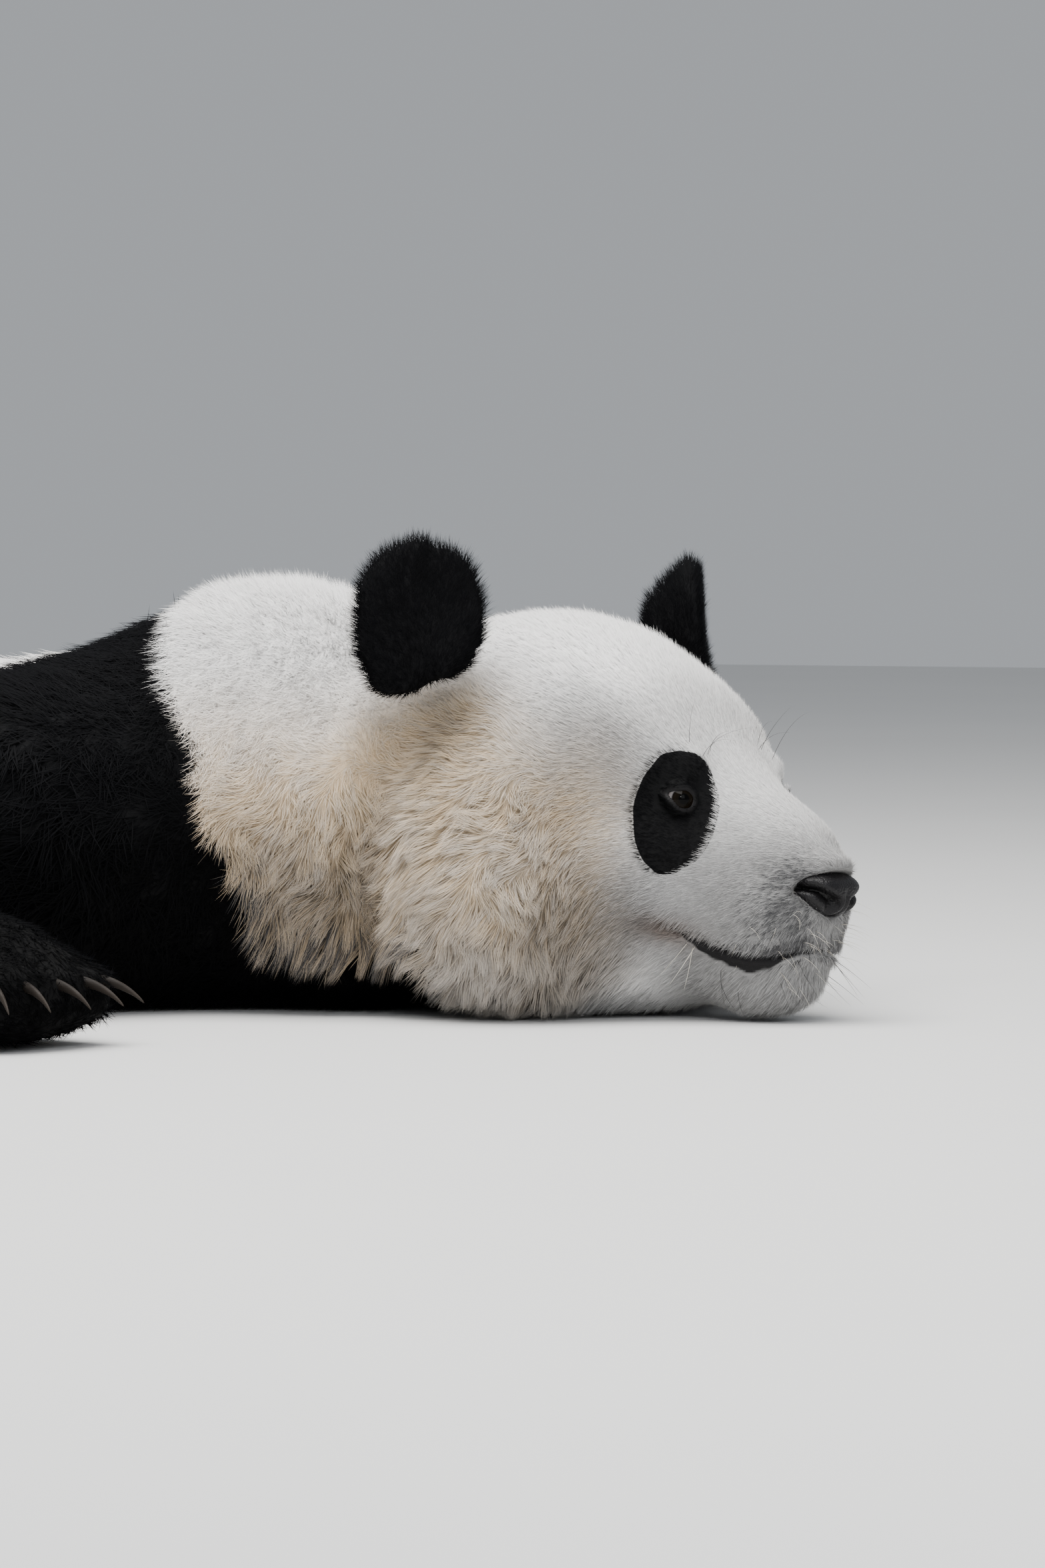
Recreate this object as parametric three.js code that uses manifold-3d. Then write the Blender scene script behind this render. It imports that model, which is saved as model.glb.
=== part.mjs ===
// A giant panda lying flat on its belly with its chin on the floor, life size. Millimetres, +Z up,
// +X towards the head, +Y to the animal's left. Every surface is the outside of the coat.
// The animal is laid out round the floor point under its ears, and moved at the end so that the
// origin is on the floor at the middle of its outline.
import * as THREE from "three";
import { mergeVertices } from "three/addons/utils/BufferGeometryUtils.js";
import Module from "manifold-3d";

const wasm = await Module();
wasm.setup();

const at = (x, y, z) => new THREE.Vector3(x, y, z);
const box = (x0, y0, z0, x1, y1, z1) => new THREE.Box3(at(x0, y0, z0), at(x1, y1, z1));

// ---------- sizes that drive the model ----------

const GAP = 0.3; // left between neighbouring pieces
const SOCKET_GAP = 2; // left round the nose, whose mesh and its socket's differ a little
const REACH = 3000; // larger than the animal, for the blocks that part it
const HEAD_TURN = THREE.MathUtils.degToRad(-15); // it looks a little to its right
const HEAD_TILT = THREE.MathUtils.degToRad(3); // its right side is held a little higher
const CELL = { body: 53, paw: 31, tail: 26, head: 30, face: 20, ear: 15, nose: 12 }; // mesh sizes

const BACK = { nape: 306, withers: 228, ribs: 234, loin: 256, rump: 268 }; // heights of the back
const HALF_WIDTH = { neck: 150, shoulders: 232, ribs: 262, belly: 292, rump: 244 };

// On the head these are measured forwards from the ear line, out to the side and up from the floor
const EYE = { forward: 147, side: 56, height: 149, radius: 12 }; // the middle of the ball
const NOSE = { forward: 230, height: 95 };
const NOSTRIL = { ahead: 15, side: 20, below: 5, half: [16, 6, 6], turn: 0.75 };
const EAR = {
  forward: -4, side: 156, height: 266, // the middle of the flap
  halfWidth: 50, halfThick: 12, cup: 10,
  above: 57, below: 46, lobe: 26, lobeOut: 18, lobeWidth: 20, // its edge above and below the middle
  outwards: 0.6, leanBack: 0.12, leanOut: -0.06,
};
const FACE_LINE = 92; // where the face begins
const NAPE_LINE = -66; // where the head ends
const MOUTH = {
  back: 80,
  depth: 60,
  line: [[150, 62], [180, 50], [200, 46], [232, 49], [290, 64]].map(([x, y]) => ({ x, y })),
};

const TOES = { count: 5, spread: 0.4, pad: 34, reach: 34, side: 78, droop: 8, half: [34, 19, 30] };
const PAD = [84, 74, 50]; // half sizes of a paw without its toes
const CLAW = {
  length: 48, radius: 5.5, flatness: 0.75, bend: 0.95, sides: 5, rings: 3,
  buried: 20, ahead: 30, above: 10,
};

// Where the markings meet and the body is parted: a point of each plane and the way it faces
const NECK_END = { through: at(-268, 0, 290), facing: at(0.91, 0, 0.41) };
const BAND_END = { through: at(-340, 0, 255), facing: at(-0.82, 0, 0.58) };
const HIPS = { through: at(-800, 0, 0), facing: at(-1, 0, 0) };
const DOCK = { through: at(-1126, 0, 0), facing: at(-1, 0, 0) };
const SHIN_TOP = { through: at(0, 0, 88), facing: at(0, 0, 1) };

// Blocks that part the legs from the trunk: the middle of the inner face on the left side, the size
// and the turn
const ARM_BLOCK = { face: at(-340, 231, 100), size: at(480, 400, 400), turn: -0.2 };
const HIND_BLOCK = { face: at(-900, 266, 100), size: at(440, 400, 400), turn: 0 };
const FOOT_BLOCK = { offset: at(20, -60, -8), size: at(460, 300, 92) };

// Rooms that hold a piece while it is meshed
const ROOM = {
  body: box(-1330, -640, -160, 420, 640, 420),
  head: box(-200, -330, -100, 340, 330, 370),
  nose: box(150, -130, 30, 330, 60, 160),
  ear: box(-160, -260, 120, 160, 260, 380),
  tail: box(-1290, -150, -80, -1020, 150, 260),
  paw: at(400, 320, 260),
};

const BLACK = { color: 0x121114, roughness: 0.9, metalness: 0 };
const WHITE = { color: 0xe9e2d4, roughness: 0.9, metalness: 0 };
const BARE = { color: 0x1d1b1c, roughness: 0.5, metalness: 0 };
const GLOSS = { color: 0x120c09, roughness: 0.08, metalness: 0 };
const HORN = { color: 0x8d8273, roughness: 0.45, metalness: 0 };

// ---------- solids and meshes ----------

function solid(geometry) {
  const bare = geometry.clone();
  bare.deleteAttribute("normal");
  bare.deleteAttribute("uv");
  const merged = mergeVertices(bare, 1e-3);
  return new wasm.Manifold(
    new wasm.Mesh({
      numProp: 3,
      vertProperties: new Float32Array(merged.attributes.position.array),
      triVerts: new Uint32Array(merged.index.array),
    }),
  );
}

function mesh(name, made, look) {
  const { numProp, numVert, vertProperties, triVerts } = made.getMesh();
  const places = new Float32Array(numVert * 3);
  for (let i = 0; i < numVert; i++) {
    places.set(vertProperties.subarray(i * numProp, i * numProp + 3), i * 3);
  }
  const geometry = new THREE.BufferGeometry();
  geometry.setAttribute("position", new THREE.BufferAttribute(places, 3));
  geometry.setIndex(new THREE.BufferAttribute(triVerts, 1));
  geometry.computeVertexNormals();
  const piece = new THREE.Mesh(geometry, new THREE.MeshStandardMaterial(look));
  piece.name = name;
  return piece;
}

/** A huge block whose face passes through a point and that fills the side facing along. */
function sideOf(point, along) {
  const block = new THREE.BoxGeometry(REACH, REACH, REACH);
  block.translate(0, 0, REACH / 2);
  block.applyQuaternion(
    new THREE.Quaternion().setFromUnitVectors(at(0, 0, 1), along.clone().normalize()),
  );
  block.translate(point.x, point.y, point.z);
  return solid(block);
}

/** Parts a solid at a plane: the piece in front of it (the side it faces) and the rest. */
function part(made, { through, facing }) {
  const shift = facing.clone().normalize().multiplyScalar(GAP / 2);
  const front = sideOf(through.clone().add(shift), facing);
  const back = sideOf(through.clone().sub(shift), facing.clone().negate());
  return [made.intersect(front), made.intersect(back)];
}

/** A block on one side of the animal, grown by grow: its inner face is centred on a point. */
function blockAt({ face, size, turn }, side, grow) {
  const geometry = new THREE.BoxGeometry(size.x + 2 * grow, size.y + 2 * grow, size.z + 2 * grow);
  geometry.translate(0, (side * size.y) / 2, 0);
  geometry.rotateZ(side * turn);
  geometry.translate(face.x, side * face.y, face.z);
  return solid(geometry);
}

const aboveFloor = (made) => made.intersect(sideOf(at(0, 0, 0), at(0, 0, 1)));
const cut = (from, tools) => tools.reduce((left, tool) => left.subtract(tool), from);

// ---------- soft masses: each is a distance to its surface, negative inside ----------

const mix = THREE.MathUtils.lerp;

/** The union of two distances, rounded over a width where they meet. */
function melt(first, second, width) {
  const near = Math.max(width - Math.abs(first - second), 0) / width;
  return Math.min(first, second) - (near * near * width) / 4;
}

/** An ellipsoid, turned about Z and then tipped nose down by pitch, both in radians. */
function egg(centre, [rx, ry, rz], { turn = 0, pitch = 0 } = {}) {
  const back = new THREE.Matrix4()
    .makeRotationFromEuler(new THREE.Euler(0, pitch, turn, "ZYX"))
    .setPosition(centre)
    .invert();
  const p = at(0, 0, 0);
  return (point) => {
    p.copy(point).applyMatrix4(back);
    const scaled = Math.hypot(p.x / rx, p.y / ry, p.z / rz);
    const steepness = Math.hypot(p.x / rx ** 2, p.y / ry ** 2, p.z / rz ** 2);
    return steepness > 0 ? (scaled * (scaled - 1)) / steepness : -Math.min(rx, ry, rz);
  };
}

/** A straight limb from one point to another, with its radius at each. */
function limb(from, to, startRadius, endRadius) {
  const span = to.clone().sub(from);
  const p = at(0, 0, 0);
  return (point) => {
    const share = p.copy(point).sub(from).dot(span) / span.lengthSq();
    const t = THREE.MathUtils.clamp(share, 0, 1);
    p.copy(from).addScaledVector(span, t);
    return p.distanceTo(point) - mix(startRadius, endRadius, t);
  };
}

const pair = (make) => [make(1), make(-1)];

/** One mass out of many, each melted into those before it over its own width. */
const together = (masses) => (point) =>
  masses.reduce((sum, [mass, width]) => melt(sum, mass(point), width), 1e6);

const inFrame = (mass, matrix) => {
  const back = matrix.clone().invert();
  const p = at(0, 0, 0);
  return (point) => mass(p.copy(point).applyMatrix4(back));
};

// ---------- the surface of a mass ----------

const AXES = [[1, 0, 0], [0, 1, 0], [0, 0, 1]];
const CORNERS = [0, 1].flatMap((i) => [0, 1].flatMap((j) => [0, 1].map((k) => [i, j, k])));
const joined = (a, b) =>
  a.every((v, n) => v <= b[n]) && a.filter((v, n) => v !== b[n]).length === 1;
const EDGES = CORNERS.flatMap((a) => CORNERS.filter((b) => joined(a, b)).map((b) => [a, b]));
const PULLS = 3; // times that each vertex is drawn onto the surface
const FLATTEST = 0.2; // least squared slope that a vertex is moved by

function eachPlace(first, end, visit) {
  for (let i = first; i < end.x; i++) {
    for (let j = first; j < end.y; j++) {
      for (let k = first; k < end.z; k++) visit(i, j, k);
    }
  }
}

/** How far a point is outside a room, or how deep inside as a negative number. */
function outside(room) {
  const middle = room.getCenter(at(0, 0, 0));
  const half = room.getSize(at(0, 0, 0)).divideScalar(2);
  return ({ x, y, z }) => {
    const sideways = Math.max(Math.abs(x - middle.x) - half.x, Math.abs(y - middle.y) - half.y);
    return Math.max(sideways, Math.abs(z - middle.z) - half.z);
  };
}

function slopeOf(depth, point) {
  const step = 0.5;
  const along = (axis) => {
    const ahead = point.clone().setComponent(axis, point.getComponent(axis) + step);
    const behind = point.clone().setComponent(axis, point.getComponent(axis) - step);
    return (depth(ahead) - depth(behind)) / (2 * step);
  };
  return at(along(0), along(1), along(2));
}

function drawOnto(depth, vertex, furthest) {
  for (let pass = 0; pass < PULLS; pass++) {
    const slope = slopeOf(depth, vertex);
    const move = depth(vertex) / Math.max(slope.lengthSq(), FLATTEST);
    vertex.addScaledVector(slope, -THREE.MathUtils.clamp(move, -furthest, furthest));
  }
}

/** The depth of a mass at every place of a lattice over a room. */
function sampled(depth, room, cell) {
  const size = room.getSize(at(0, 0, 0)).divideScalar(cell).ceil().addScalar(1);
  const place = (i, j, k) => at(i, j, k).multiplyScalar(cell).add(room.min);
  const index = (i, j, k) => (i * size.y + j) * size.z + k;
  const samples = new Float32Array(size.x * size.y * size.z);
  eachPlace(0, size, (i, j, k) => {
    samples[index(i, j, k)] = depth(place(i, j, k));
  });
  return { size, place, index, value: (i, j, k) => samples[index(i, j, k)] };
}

/** One vertex in each cell that the surface crosses, drawn onto it. */
function surfaceVertices({ size, place, index, value }, depth, cell) {
  const vertices = [];
  const vertexOf = new Map();
  eachPlace(0, size.clone().subScalar(1), (i, j, k) => {
    const valueAt = ([a, b, c]) => value(i + a, j + b, k + c);
    const crossed = EDGES.filter(([a, b]) => valueAt(a) < 0 !== valueAt(b) < 0);
    if (!crossed.length) return;
    const vertex = at(0, 0, 0);
    for (const [a, b] of crossed) {
      const share = valueAt(a) / (valueAt(a) - valueAt(b));
      const [from, to] = [a, b].map(([u, v, w]) => place(i + u, j + v, k + w));
      vertex.addScaledVector(from.lerp(to, share), 1 / crossed.length);
    }
    drawOnto(depth, vertex, cell / 3);
    vertexOf.set(index(i, j, k), vertices.length);
    vertices.push(vertex);
  });
  return { vertices, vertexOf };
}

/** Two triangles round each lattice edge that the surface crosses, split the shorter way. */
function surfaceTriangles({ size, index, value }, { vertices, vertexOf }) {
  const triangles = [];
  const apart = (a, b) => vertices[a].distanceToSquared(vertices[b]);
  eachPlace(1, size.clone().subScalar(1), (i, j, k) => {
    AXES.forEach(([di, dj, dk], axis) => {
      const inside = value(i, j, k) < 0;
      if (inside === value(i + di, j + dj, k + dk) < 0) return;
      const [u, v] = [AXES[(axis + 1) % 3], AXES[(axis + 2) % 3]];
      const cells = [[0, 0], [1, 0], [1, 1], [0, 1]].map(([a, b]) =>
        index(i - a * u[0] - b * v[0], j - a * u[1] - b * v[1], k - a * u[2] - b * v[2]),
      );
      const ring = cells.map((cell) => vertexOf.get(cell));
      if (!inside) ring.reverse();
      const [p, q, r, s] = ring;
      if (apart(p, r) < apart(q, s)) triangles.push(p, q, r, p, r, s);
      else triangles.push(p, q, s, q, r, s);
    });
  });
  return triangles;
}

/** The solid that a mass, grown by grow, fills inside a room, meshed with cells of one size. */
function filled(mass, room, cell, grow = 0) {
  const beyond = outside(room.clone().expandByScalar(-cell));
  const depth = (point) => Math.max(mass(point) - grow, beyond(point));
  const lattice = sampled(depth, room, cell);
  const found = surfaceVertices(lattice, depth, cell);
  const geometry = new THREE.BufferGeometry().setFromPoints(found.vertices);
  geometry.setIndex(surfaceTriangles(lattice, found));
  return solid(geometry);
}

// ---------- the masses of the body ----------

const TRUNK = together([
  [egg(at(-115, -12, 118), [150, HALF_WIDTH.neck, 132]), 1],
  [egg(at(-205, -4, BACK.nape - 154), [156, 158, 154], { pitch: 0.1 }), 60],
  [egg(at(-335, 0, BACK.withers - 138), [185, HALF_WIDTH.shoulders, 138]), 70],
  [egg(at(-540, 0, BACK.ribs - 146), [270, HALF_WIDTH.ribs, 146]), 110],
  [egg(at(-740, 0, BACK.loin - 160), [260, HALF_WIDTH.belly, 160]), 120],
  [egg(at(-930, 0, BACK.rump - 158), [205, HALF_WIDTH.rump, 158]), 110],
]);
const TAIL = limb(at(-1105, 0, 128), at(-1166, 0, 36), 46, 40);

const SIDES = { left: 1, right: -1 }; // the label in the names, and the sign of Y
const ARMS = {
  right: {
    shoulder: at(-335, -170, 128), elbow: at(-468, -330, 76), wrist: at(-322, -396, 56),
    paw: at(-240, -424, 42), turn: -0.3,
  },
  left: {
    shoulder: at(-335, 170, 128), elbow: at(-455, 338, 76), wrist: at(-296, 384, 56),
    paw: at(-212, 398, 42), turn: 0.16,
  },
};
const HIND = {
  left: { knee: at(-775, 312, 78), heel: at(-965, 344, 48), paw: at(-838, 426, 40), turn: 0.5 },
  right: { knee: at(-765, -308, 78), heel: at(-960, -344, 48), paw: at(-828, -420, 40), turn: -0.45 },
};

/** The root of a toe, from the middle of the paw, and the way that its claw points. */
function toe(i) {
  const angle = (i - (TOES.count - 1) / 2) * TOES.spread;
  const root = at(TOES.pad + TOES.reach * Math.cos(angle), TOES.side * Math.sin(angle), -TOES.droop);
  return { root, heading: angle * 0.6 };
}

const TOE_NUMBERS = Array.from({ length: TOES.count }, (_, i) => i);

/** The pad and the toes of a paw, which points along +X turned by turn. */
function pawMass({ paw, turn }) {
  const toes = TOE_NUMBERS.map((i) => {
    const middle = toe(i).root.applyAxisAngle(at(0, 0, 1), turn).add(paw);
    return [egg(middle, TOES.half, { turn }), 12];
  });
  return [[egg(paw, PAD, { turn, pitch: 0.1 }), 45], ...toes];
}

const frontLeg = (arm) => [
  [limb(arm.shoulder, arm.elbow, 104, 84), 70],
  [limb(arm.elbow, arm.wrist, 82, 64), 40],
  ...pawMass(arm),
];

const hindLeg = (leg, side) => [
  [egg(at(-900, side * 205, 108), [186, 146, 124], { turn: side * 0.35 }), 60],
  [egg(leg.knee, [98, 84, 88]), 70],
  [limb(leg.knee.clone().add(at(-40, side * 20, -20)), leg.heel, 66, 54), 40],
  [limb(leg.heel, leg.paw, 50, 50), 30],
  ...pawMass(leg),
];

const BODY = together([
  [TRUNK, 1],
  ...frontLeg(ARMS.right),
  ...frontLeg(ARMS.left),
  ...hindLeg(HIND.left, 1),
  ...hindLeg(HIND.right, -1),
  [TAIL, 30],
]);

// ---------- the masses of the head, in its own frame: +X to the nose, origin under the ear line ----------

const SKULL = egg(at(6, 0, 160), [138, 136, 120], { pitch: 0.14 });
const THROAT = egg(at(60, 0, 82), [104, 118, 84]);
const CHEEKS = pair((side) => egg(at(28, side * 88, 88), [84, 88, 92]));
const BROWS = pair((side) => egg(at(92, side * 46, 180), [58, 46, 38], { turn: -side * 0.3, pitch: 0.5 }));
const MUZZLE = limb(at(116, 0, 94), at(184, 0, 92), 80, 52);
const BRIDGE = egg(at(180, 0, 124), [62, 36, 30], { pitch: 0.42 });
const LIPS = pair((side) => egg(at(194, side * 24, 73), [42, 32, 31], { turn: -side * 0.25 }));
const CHIN = egg(at(184, 0, 35), [47, 42, 37]);

const FLESH = together([
  [SKULL, 1],
  ...CHEEKS.map((cheek) => [cheek, 40]),
  [THROAT, 50],
  ...BROWS.map((brow) => [brow, 30]),
  [MUZZLE, 45],
  [BRIDGE, 24],
  ...LIPS.map((lip) => [lip, 16]),
  [CHIN, 20],
]);

/** The hollows that the eyes lie in. */
const HOLLOWS = pair((side) => egg(at(EYE.forward + 17, side * (EYE.side + 19), EYE.height), [22, 22, 17]));
const HEAD = (point) =>
  HOLLOWS.reduce((face, hollow) => -melt(-face, hollow(point), 14), FLESH(point));

const NOSE_PAD = together([
  [egg(at(NOSE.forward, 0, NOSE.height), [23, 29, 17], { pitch: -0.15 }), 1],
  [egg(at(NOSE.forward - 4, 0, NOSE.height - 14), [18, 12, 14]), 8],
]);

/** A round plush flap cupped forwards, fuller below towards its outer side, on a root behind it. */
function earFlap(side) {
  const lean = new THREE.Euler(-side * EAR.leanOut, -EAR.leanBack, side * EAR.outwards, "ZYX");
  const placed = new THREE.Matrix4()
    .makeRotationFromEuler(lean)
    .setPosition(at(EAR.forward, side * EAR.side, EAR.height));
  const { halfWidth, halfThick, cup, above, below, lobe, lobeOut, lobeWidth } = EAR;
  const rounded = (a, b, power) => (Math.abs(a) ** power + Math.abs(b) ** power) ** (1 / power);
  const fromMiddle = (y, z) => {
    if (z > 0) return rounded(y / halfWidth, z / above, 2.3);
    const deep = below + lobe * Math.exp(-(((side * y - lobeOut) / lobeWidth) ** 2));
    return rounded(y / halfWidth, z / deep, 4);
  };
  const flap = ({ x, y, z }) => {
    const out = fromMiddle(y, z);
    const pastRim = Math.max(out * halfWidth - halfWidth + halfThick, 0);
    return Math.hypot(x - cup * out ** 2, pastRim) - halfThick;
  };
  const root = egg(at(-12, 0, -2), [22, 34, 40]);
  return inFrame(together([[flap, 1], [root, 10]]), placed);
}

const HEAD_FRAME = new THREE.Matrix4()
  .makeRotationZ(HEAD_TURN)
  .multiply(new THREE.Matrix4().makeRotationX(-HEAD_TILT));

/** A plane across the head, some way in front of the ear line. */
const acrossHead = (forward) => ({
  through: at(forward, 0, 0).applyMatrix4(HEAD_FRAME),
  facing: at(1, 0, 0).transformDirection(HEAD_FRAME),
});

const WHOLE = together([[BODY, 1], [inFrame(HEAD, HEAD_FRAME), 28]]);

// ---------- eyes, nostrils, claws and jaw ----------

function eyeball(side, grow = 0) {
  const geometry = new THREE.SphereGeometry(EYE.radius + grow, 11, 7);
  geometry.translate(EYE.forward, side * EYE.side, EYE.height);
  return solid(geometry.applyMatrix4(HEAD_FRAME));
}

function nostril(side) {
  const geometry = new THREE.SphereGeometry(1, 8, 6);
  geometry.scale(...NOSTRIL.half);
  geometry.rotateZ(-side * NOSTRIL.turn);
  geometry.translate(NOSE.forward + NOSTRIL.ahead, side * NOSTRIL.side, NOSE.height - NOSTRIL.below);
  return solid(geometry.applyMatrix4(HEAD_FRAME));
}

/** A cone along +X bent down round an arc, flattened from side to side. */
function bentCone(grow) {
  const { length, radius, flatness, bend, sides, rings } = CLAW;
  const geometry = new THREE.ConeGeometry(radius + grow, length + 2 * grow, sides, rings);
  geometry.rotateZ(-Math.PI / 2);
  geometry.translate(length / 2, 0, 0);
  const places = geometry.attributes.position;
  const arc = length / bend;
  for (let n = 0; n < places.count; n++) {
    const [x, y, z] = [places.getX(n), places.getY(n), places.getZ(n)];
    const [sine, cosine] = [Math.sin(x / arc), Math.cos(x / arc)];
    places.setXYZ(n, (arc + z) * sine, y * flatness, (arc + z) * cosine - arc);
  }
  return geometry;
}

function claw({ paw, turn }, i, grow = 0) {
  const { root, heading } = toe(i);
  const geometry = bentCone(grow);
  geometry.translate(-CLAW.buried, 0, 0);
  geometry.rotateZ(heading);
  geometry.translate(root.x + CLAW.ahead, root.y, root.z + CLAW.above);
  geometry.rotateZ(turn);
  geometry.translate(paw.x, paw.y, paw.z);
  return solid(geometry);
}

/** Everything under the line of the mouth, in front of the throat. */
function jawRegion(grow) {
  const { back, depth, line } = MOUTH;
  const halfWidth = 200;
  const outline = new THREE.Shape();
  outline.moveTo(back - grow, -depth);
  outline.lineTo(back - grow, line[0].y + grow);
  outline.splineThru(line.map(({ x, y }) => new THREE.Vector2(x, y + grow)));
  outline.lineTo(line.at(-1).x, -depth);
  const geometry = new THREE.ExtrudeGeometry(outline, {
    depth: 2 * halfWidth, bevelEnabled: false, curveSegments: 3,
  });
  geometry.rotateX(Math.PI / 2);
  geometry.translate(0, halfWidth, 0);
  return solid(geometry.applyMatrix4(HEAD_FRAME));
}

// ---------- the animal ----------

const panda = new THREE.Group();

const add = (name, made, look) => panda.add(mesh(name, made, look));

function addHead() {
  const [nape, brow] = [acrossHead(NAPE_LINE), acrossHead(FACE_LINE)];
  const [ahead] = part(aboveFloor(filled(WHOLE, ROOM.head, CELL.head)), nape);
  const [, skull] = part(ahead, brow);
  add("head", skull, WHITE);

  const pad = inFrame(NOSE_PAD, HEAD_FRAME);
  const socket = filled(pad, ROOM.nose, CELL.nose, SOCKET_GAP);
  const [front] = part(aboveFloor(filled(WHOLE, ROOM.head, CELL.face)), brow);
  const face = cut(front, [eyeball(1, GAP), eyeball(-1, GAP), socket]);
  add("face", face.subtract(jawRegion(GAP)), WHITE);
  add("lower_jaw", face.intersect(jawRegion(0)), WHITE);
  add("nose", cut(filled(pad, ROOM.nose, CELL.nose), pair(nostril)), BARE);

  const scalp = filled(WHOLE, ROOM.head, CELL.head, 2 * GAP);
  for (const [label, side] of Object.entries(SIDES)) {
    const flap = filled(inFrame(earFlap(side), HEAD_FRAME), ROOM.ear, CELL.ear);
    add(`eye_${label}`, eyeball(side), GLOSS);
    add(`ear_${label}`, flap.subtract(scalp), BLACK);
  }
}

/** The body round one paw, in a finer mesh than the rest. */
function pawRegion({ paw }) {
  const room = new THREE.Box3().setFromCenterAndSize(paw, ROOM.paw);
  return aboveFloor(filled(WHOLE, room, CELL.paw));
}

function addPaw(name, clawName, made, leg) {
  add(name, cut(made, TOE_NUMBERS.map((i) => claw(leg, i, GAP))), BLACK);
  TOE_NUMBERS.forEach((i) => add(`${clawName}_${i + 1}`, claw(leg, i), HORN));
}

function addForeleg(label, side, whole) {
  const { shoulder, elbow, wrist } = ARMS[label];
  const flatWay = (end) => end.clone().sub(elbow).setZ(0).normalize();
  const [down, up] = [flatWay(wrist), flatWay(shoulder)];
  const bend = { through: elbow.clone().addScaledVector(up, 27), facing: down.clone().sub(up) };
  const cuff = { through: wrist.clone().addScaledVector(down, 13), facing: down };
  const [lower, upper] = part(whole, bend);
  const [, forearm] = part(lower, cuff);
  const [hand] = part(pawRegion(ARMS[label]).intersect(blockAt(ARM_BLOCK, side, 0)), cuff);
  add(`upper_arm_${label}`, upper, BLACK);
  add(`forearm_${label}`, forearm, BLACK);
  addPaw(`front_paw_${label}`, `front_claw_${label}`, hand, ARMS[label]);
}

function addHindleg(label, side, whole) {
  const { heel, paw, turn } = HIND[label];
  const middle = heel.clone().lerp(paw, 0.5);
  const face = middle.setY(side * middle.y).add(FOOT_BLOCK.offset);
  const footBlock = { face, size: FOOT_BLOCK.size, turn: side * turn };
  const foot = (grow) => blockAt(footBlock, side, grow);
  const [thigh, shin] = part(whole.subtract(foot(GAP)), SHIN_TOP);
  add(`thigh_${label}`, thigh, BLACK);
  add(`shin_${label}`, shin, BLACK);
  const sole = pawRegion(HIND[label]).intersect(blockAt(HIND_BLOCK, side, 0)).intersect(foot(0));
  addPaw(`hind_paw_${label}`, `hind_claw_${label}`, sole, HIND[label]);
}

function addBody() {
  const [, body] = part(aboveFloor(filled(WHOLE, ROOM.body, CELL.body)), acrossHead(NAPE_LINE));
  let middle = body;
  for (const [label, side] of Object.entries(SIDES)) {
    addForeleg(label, side, middle.intersect(blockAt(ARM_BLOCK, side, 0)));
    addHindleg(label, side, middle.intersect(blockAt(HIND_BLOCK, side, 0)));
    middle = cut(middle, [blockAt(ARM_BLOCK, side, GAP), blockAt(HIND_BLOCK, side, GAP)]);
  }
  const [neck, behindNeck] = part(middle, NECK_END);
  const [behindBand, shoulders] = part(behindNeck, BAND_END);
  const [hips, trunk] = part(behindBand, HIPS);
  const [, rump] = part(hips, DOCK);
  const [tail] = part(aboveFloor(filled(WHOLE, ROOM.tail, CELL.tail)), DOCK);
  add("neck", neck, WHITE);
  add("shoulders", shoulders, BLACK);
  add("trunk", trunk, WHITE);
  add("rump", rump, WHITE);
  add("tail", tail, WHITE);
}

addHead();
addBody();
const { min, max } = new THREE.Box3().setFromObject(panda);
panda.position.set(-(min.x + max.x) / 2, -(min.y + max.y) / 2, 0);

export default panda;
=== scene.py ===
"""A life-size giant panda lying with its chin on the floor: skin, coat, eyes, nose, claws and whiskers.

Metres throughout. The head is worked in its own frame, in millimetres: forwards, to its left and up
from the floor point under its ears. The body is worked in millimetres from the same floor point.
"""
import math

import bmesh
import bpy
import numpy as np
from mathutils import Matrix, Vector
from mathutils.bvhtree import BVHTree
from mathutils.kdtree import KDTree


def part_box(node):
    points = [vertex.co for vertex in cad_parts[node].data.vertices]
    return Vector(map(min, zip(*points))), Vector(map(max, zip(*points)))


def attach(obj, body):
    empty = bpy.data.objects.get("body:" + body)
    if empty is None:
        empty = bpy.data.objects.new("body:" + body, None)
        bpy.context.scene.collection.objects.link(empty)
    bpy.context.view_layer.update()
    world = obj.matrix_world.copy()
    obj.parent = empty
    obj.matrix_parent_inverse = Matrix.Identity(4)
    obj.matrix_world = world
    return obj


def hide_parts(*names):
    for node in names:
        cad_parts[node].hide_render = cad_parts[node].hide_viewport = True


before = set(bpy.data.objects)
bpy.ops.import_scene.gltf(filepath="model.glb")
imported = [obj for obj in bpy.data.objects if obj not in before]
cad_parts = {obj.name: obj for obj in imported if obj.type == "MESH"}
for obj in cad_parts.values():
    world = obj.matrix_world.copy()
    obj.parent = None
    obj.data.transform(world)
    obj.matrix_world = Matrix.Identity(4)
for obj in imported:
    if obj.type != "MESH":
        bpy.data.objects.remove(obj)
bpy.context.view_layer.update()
MM = 0.001
SIDES = {"left": 1, "right": -1}
HARD = ("nose", "eye_", "front_claw_", "hind_claw_")
HEAD_PARTS = ("head", "face", "lower_jaw")
LEG_CHAINS = [("upper_arm", "forearm", "front_paw"), ("thigh", "shin", "hind_paw")]
LEG_PARTS = LEG_CHAINS[0] + LEG_CHAINS[1]

# ---------- sizes, in millimetres; places on the head are forwards, out from the middle and up ----------

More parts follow.
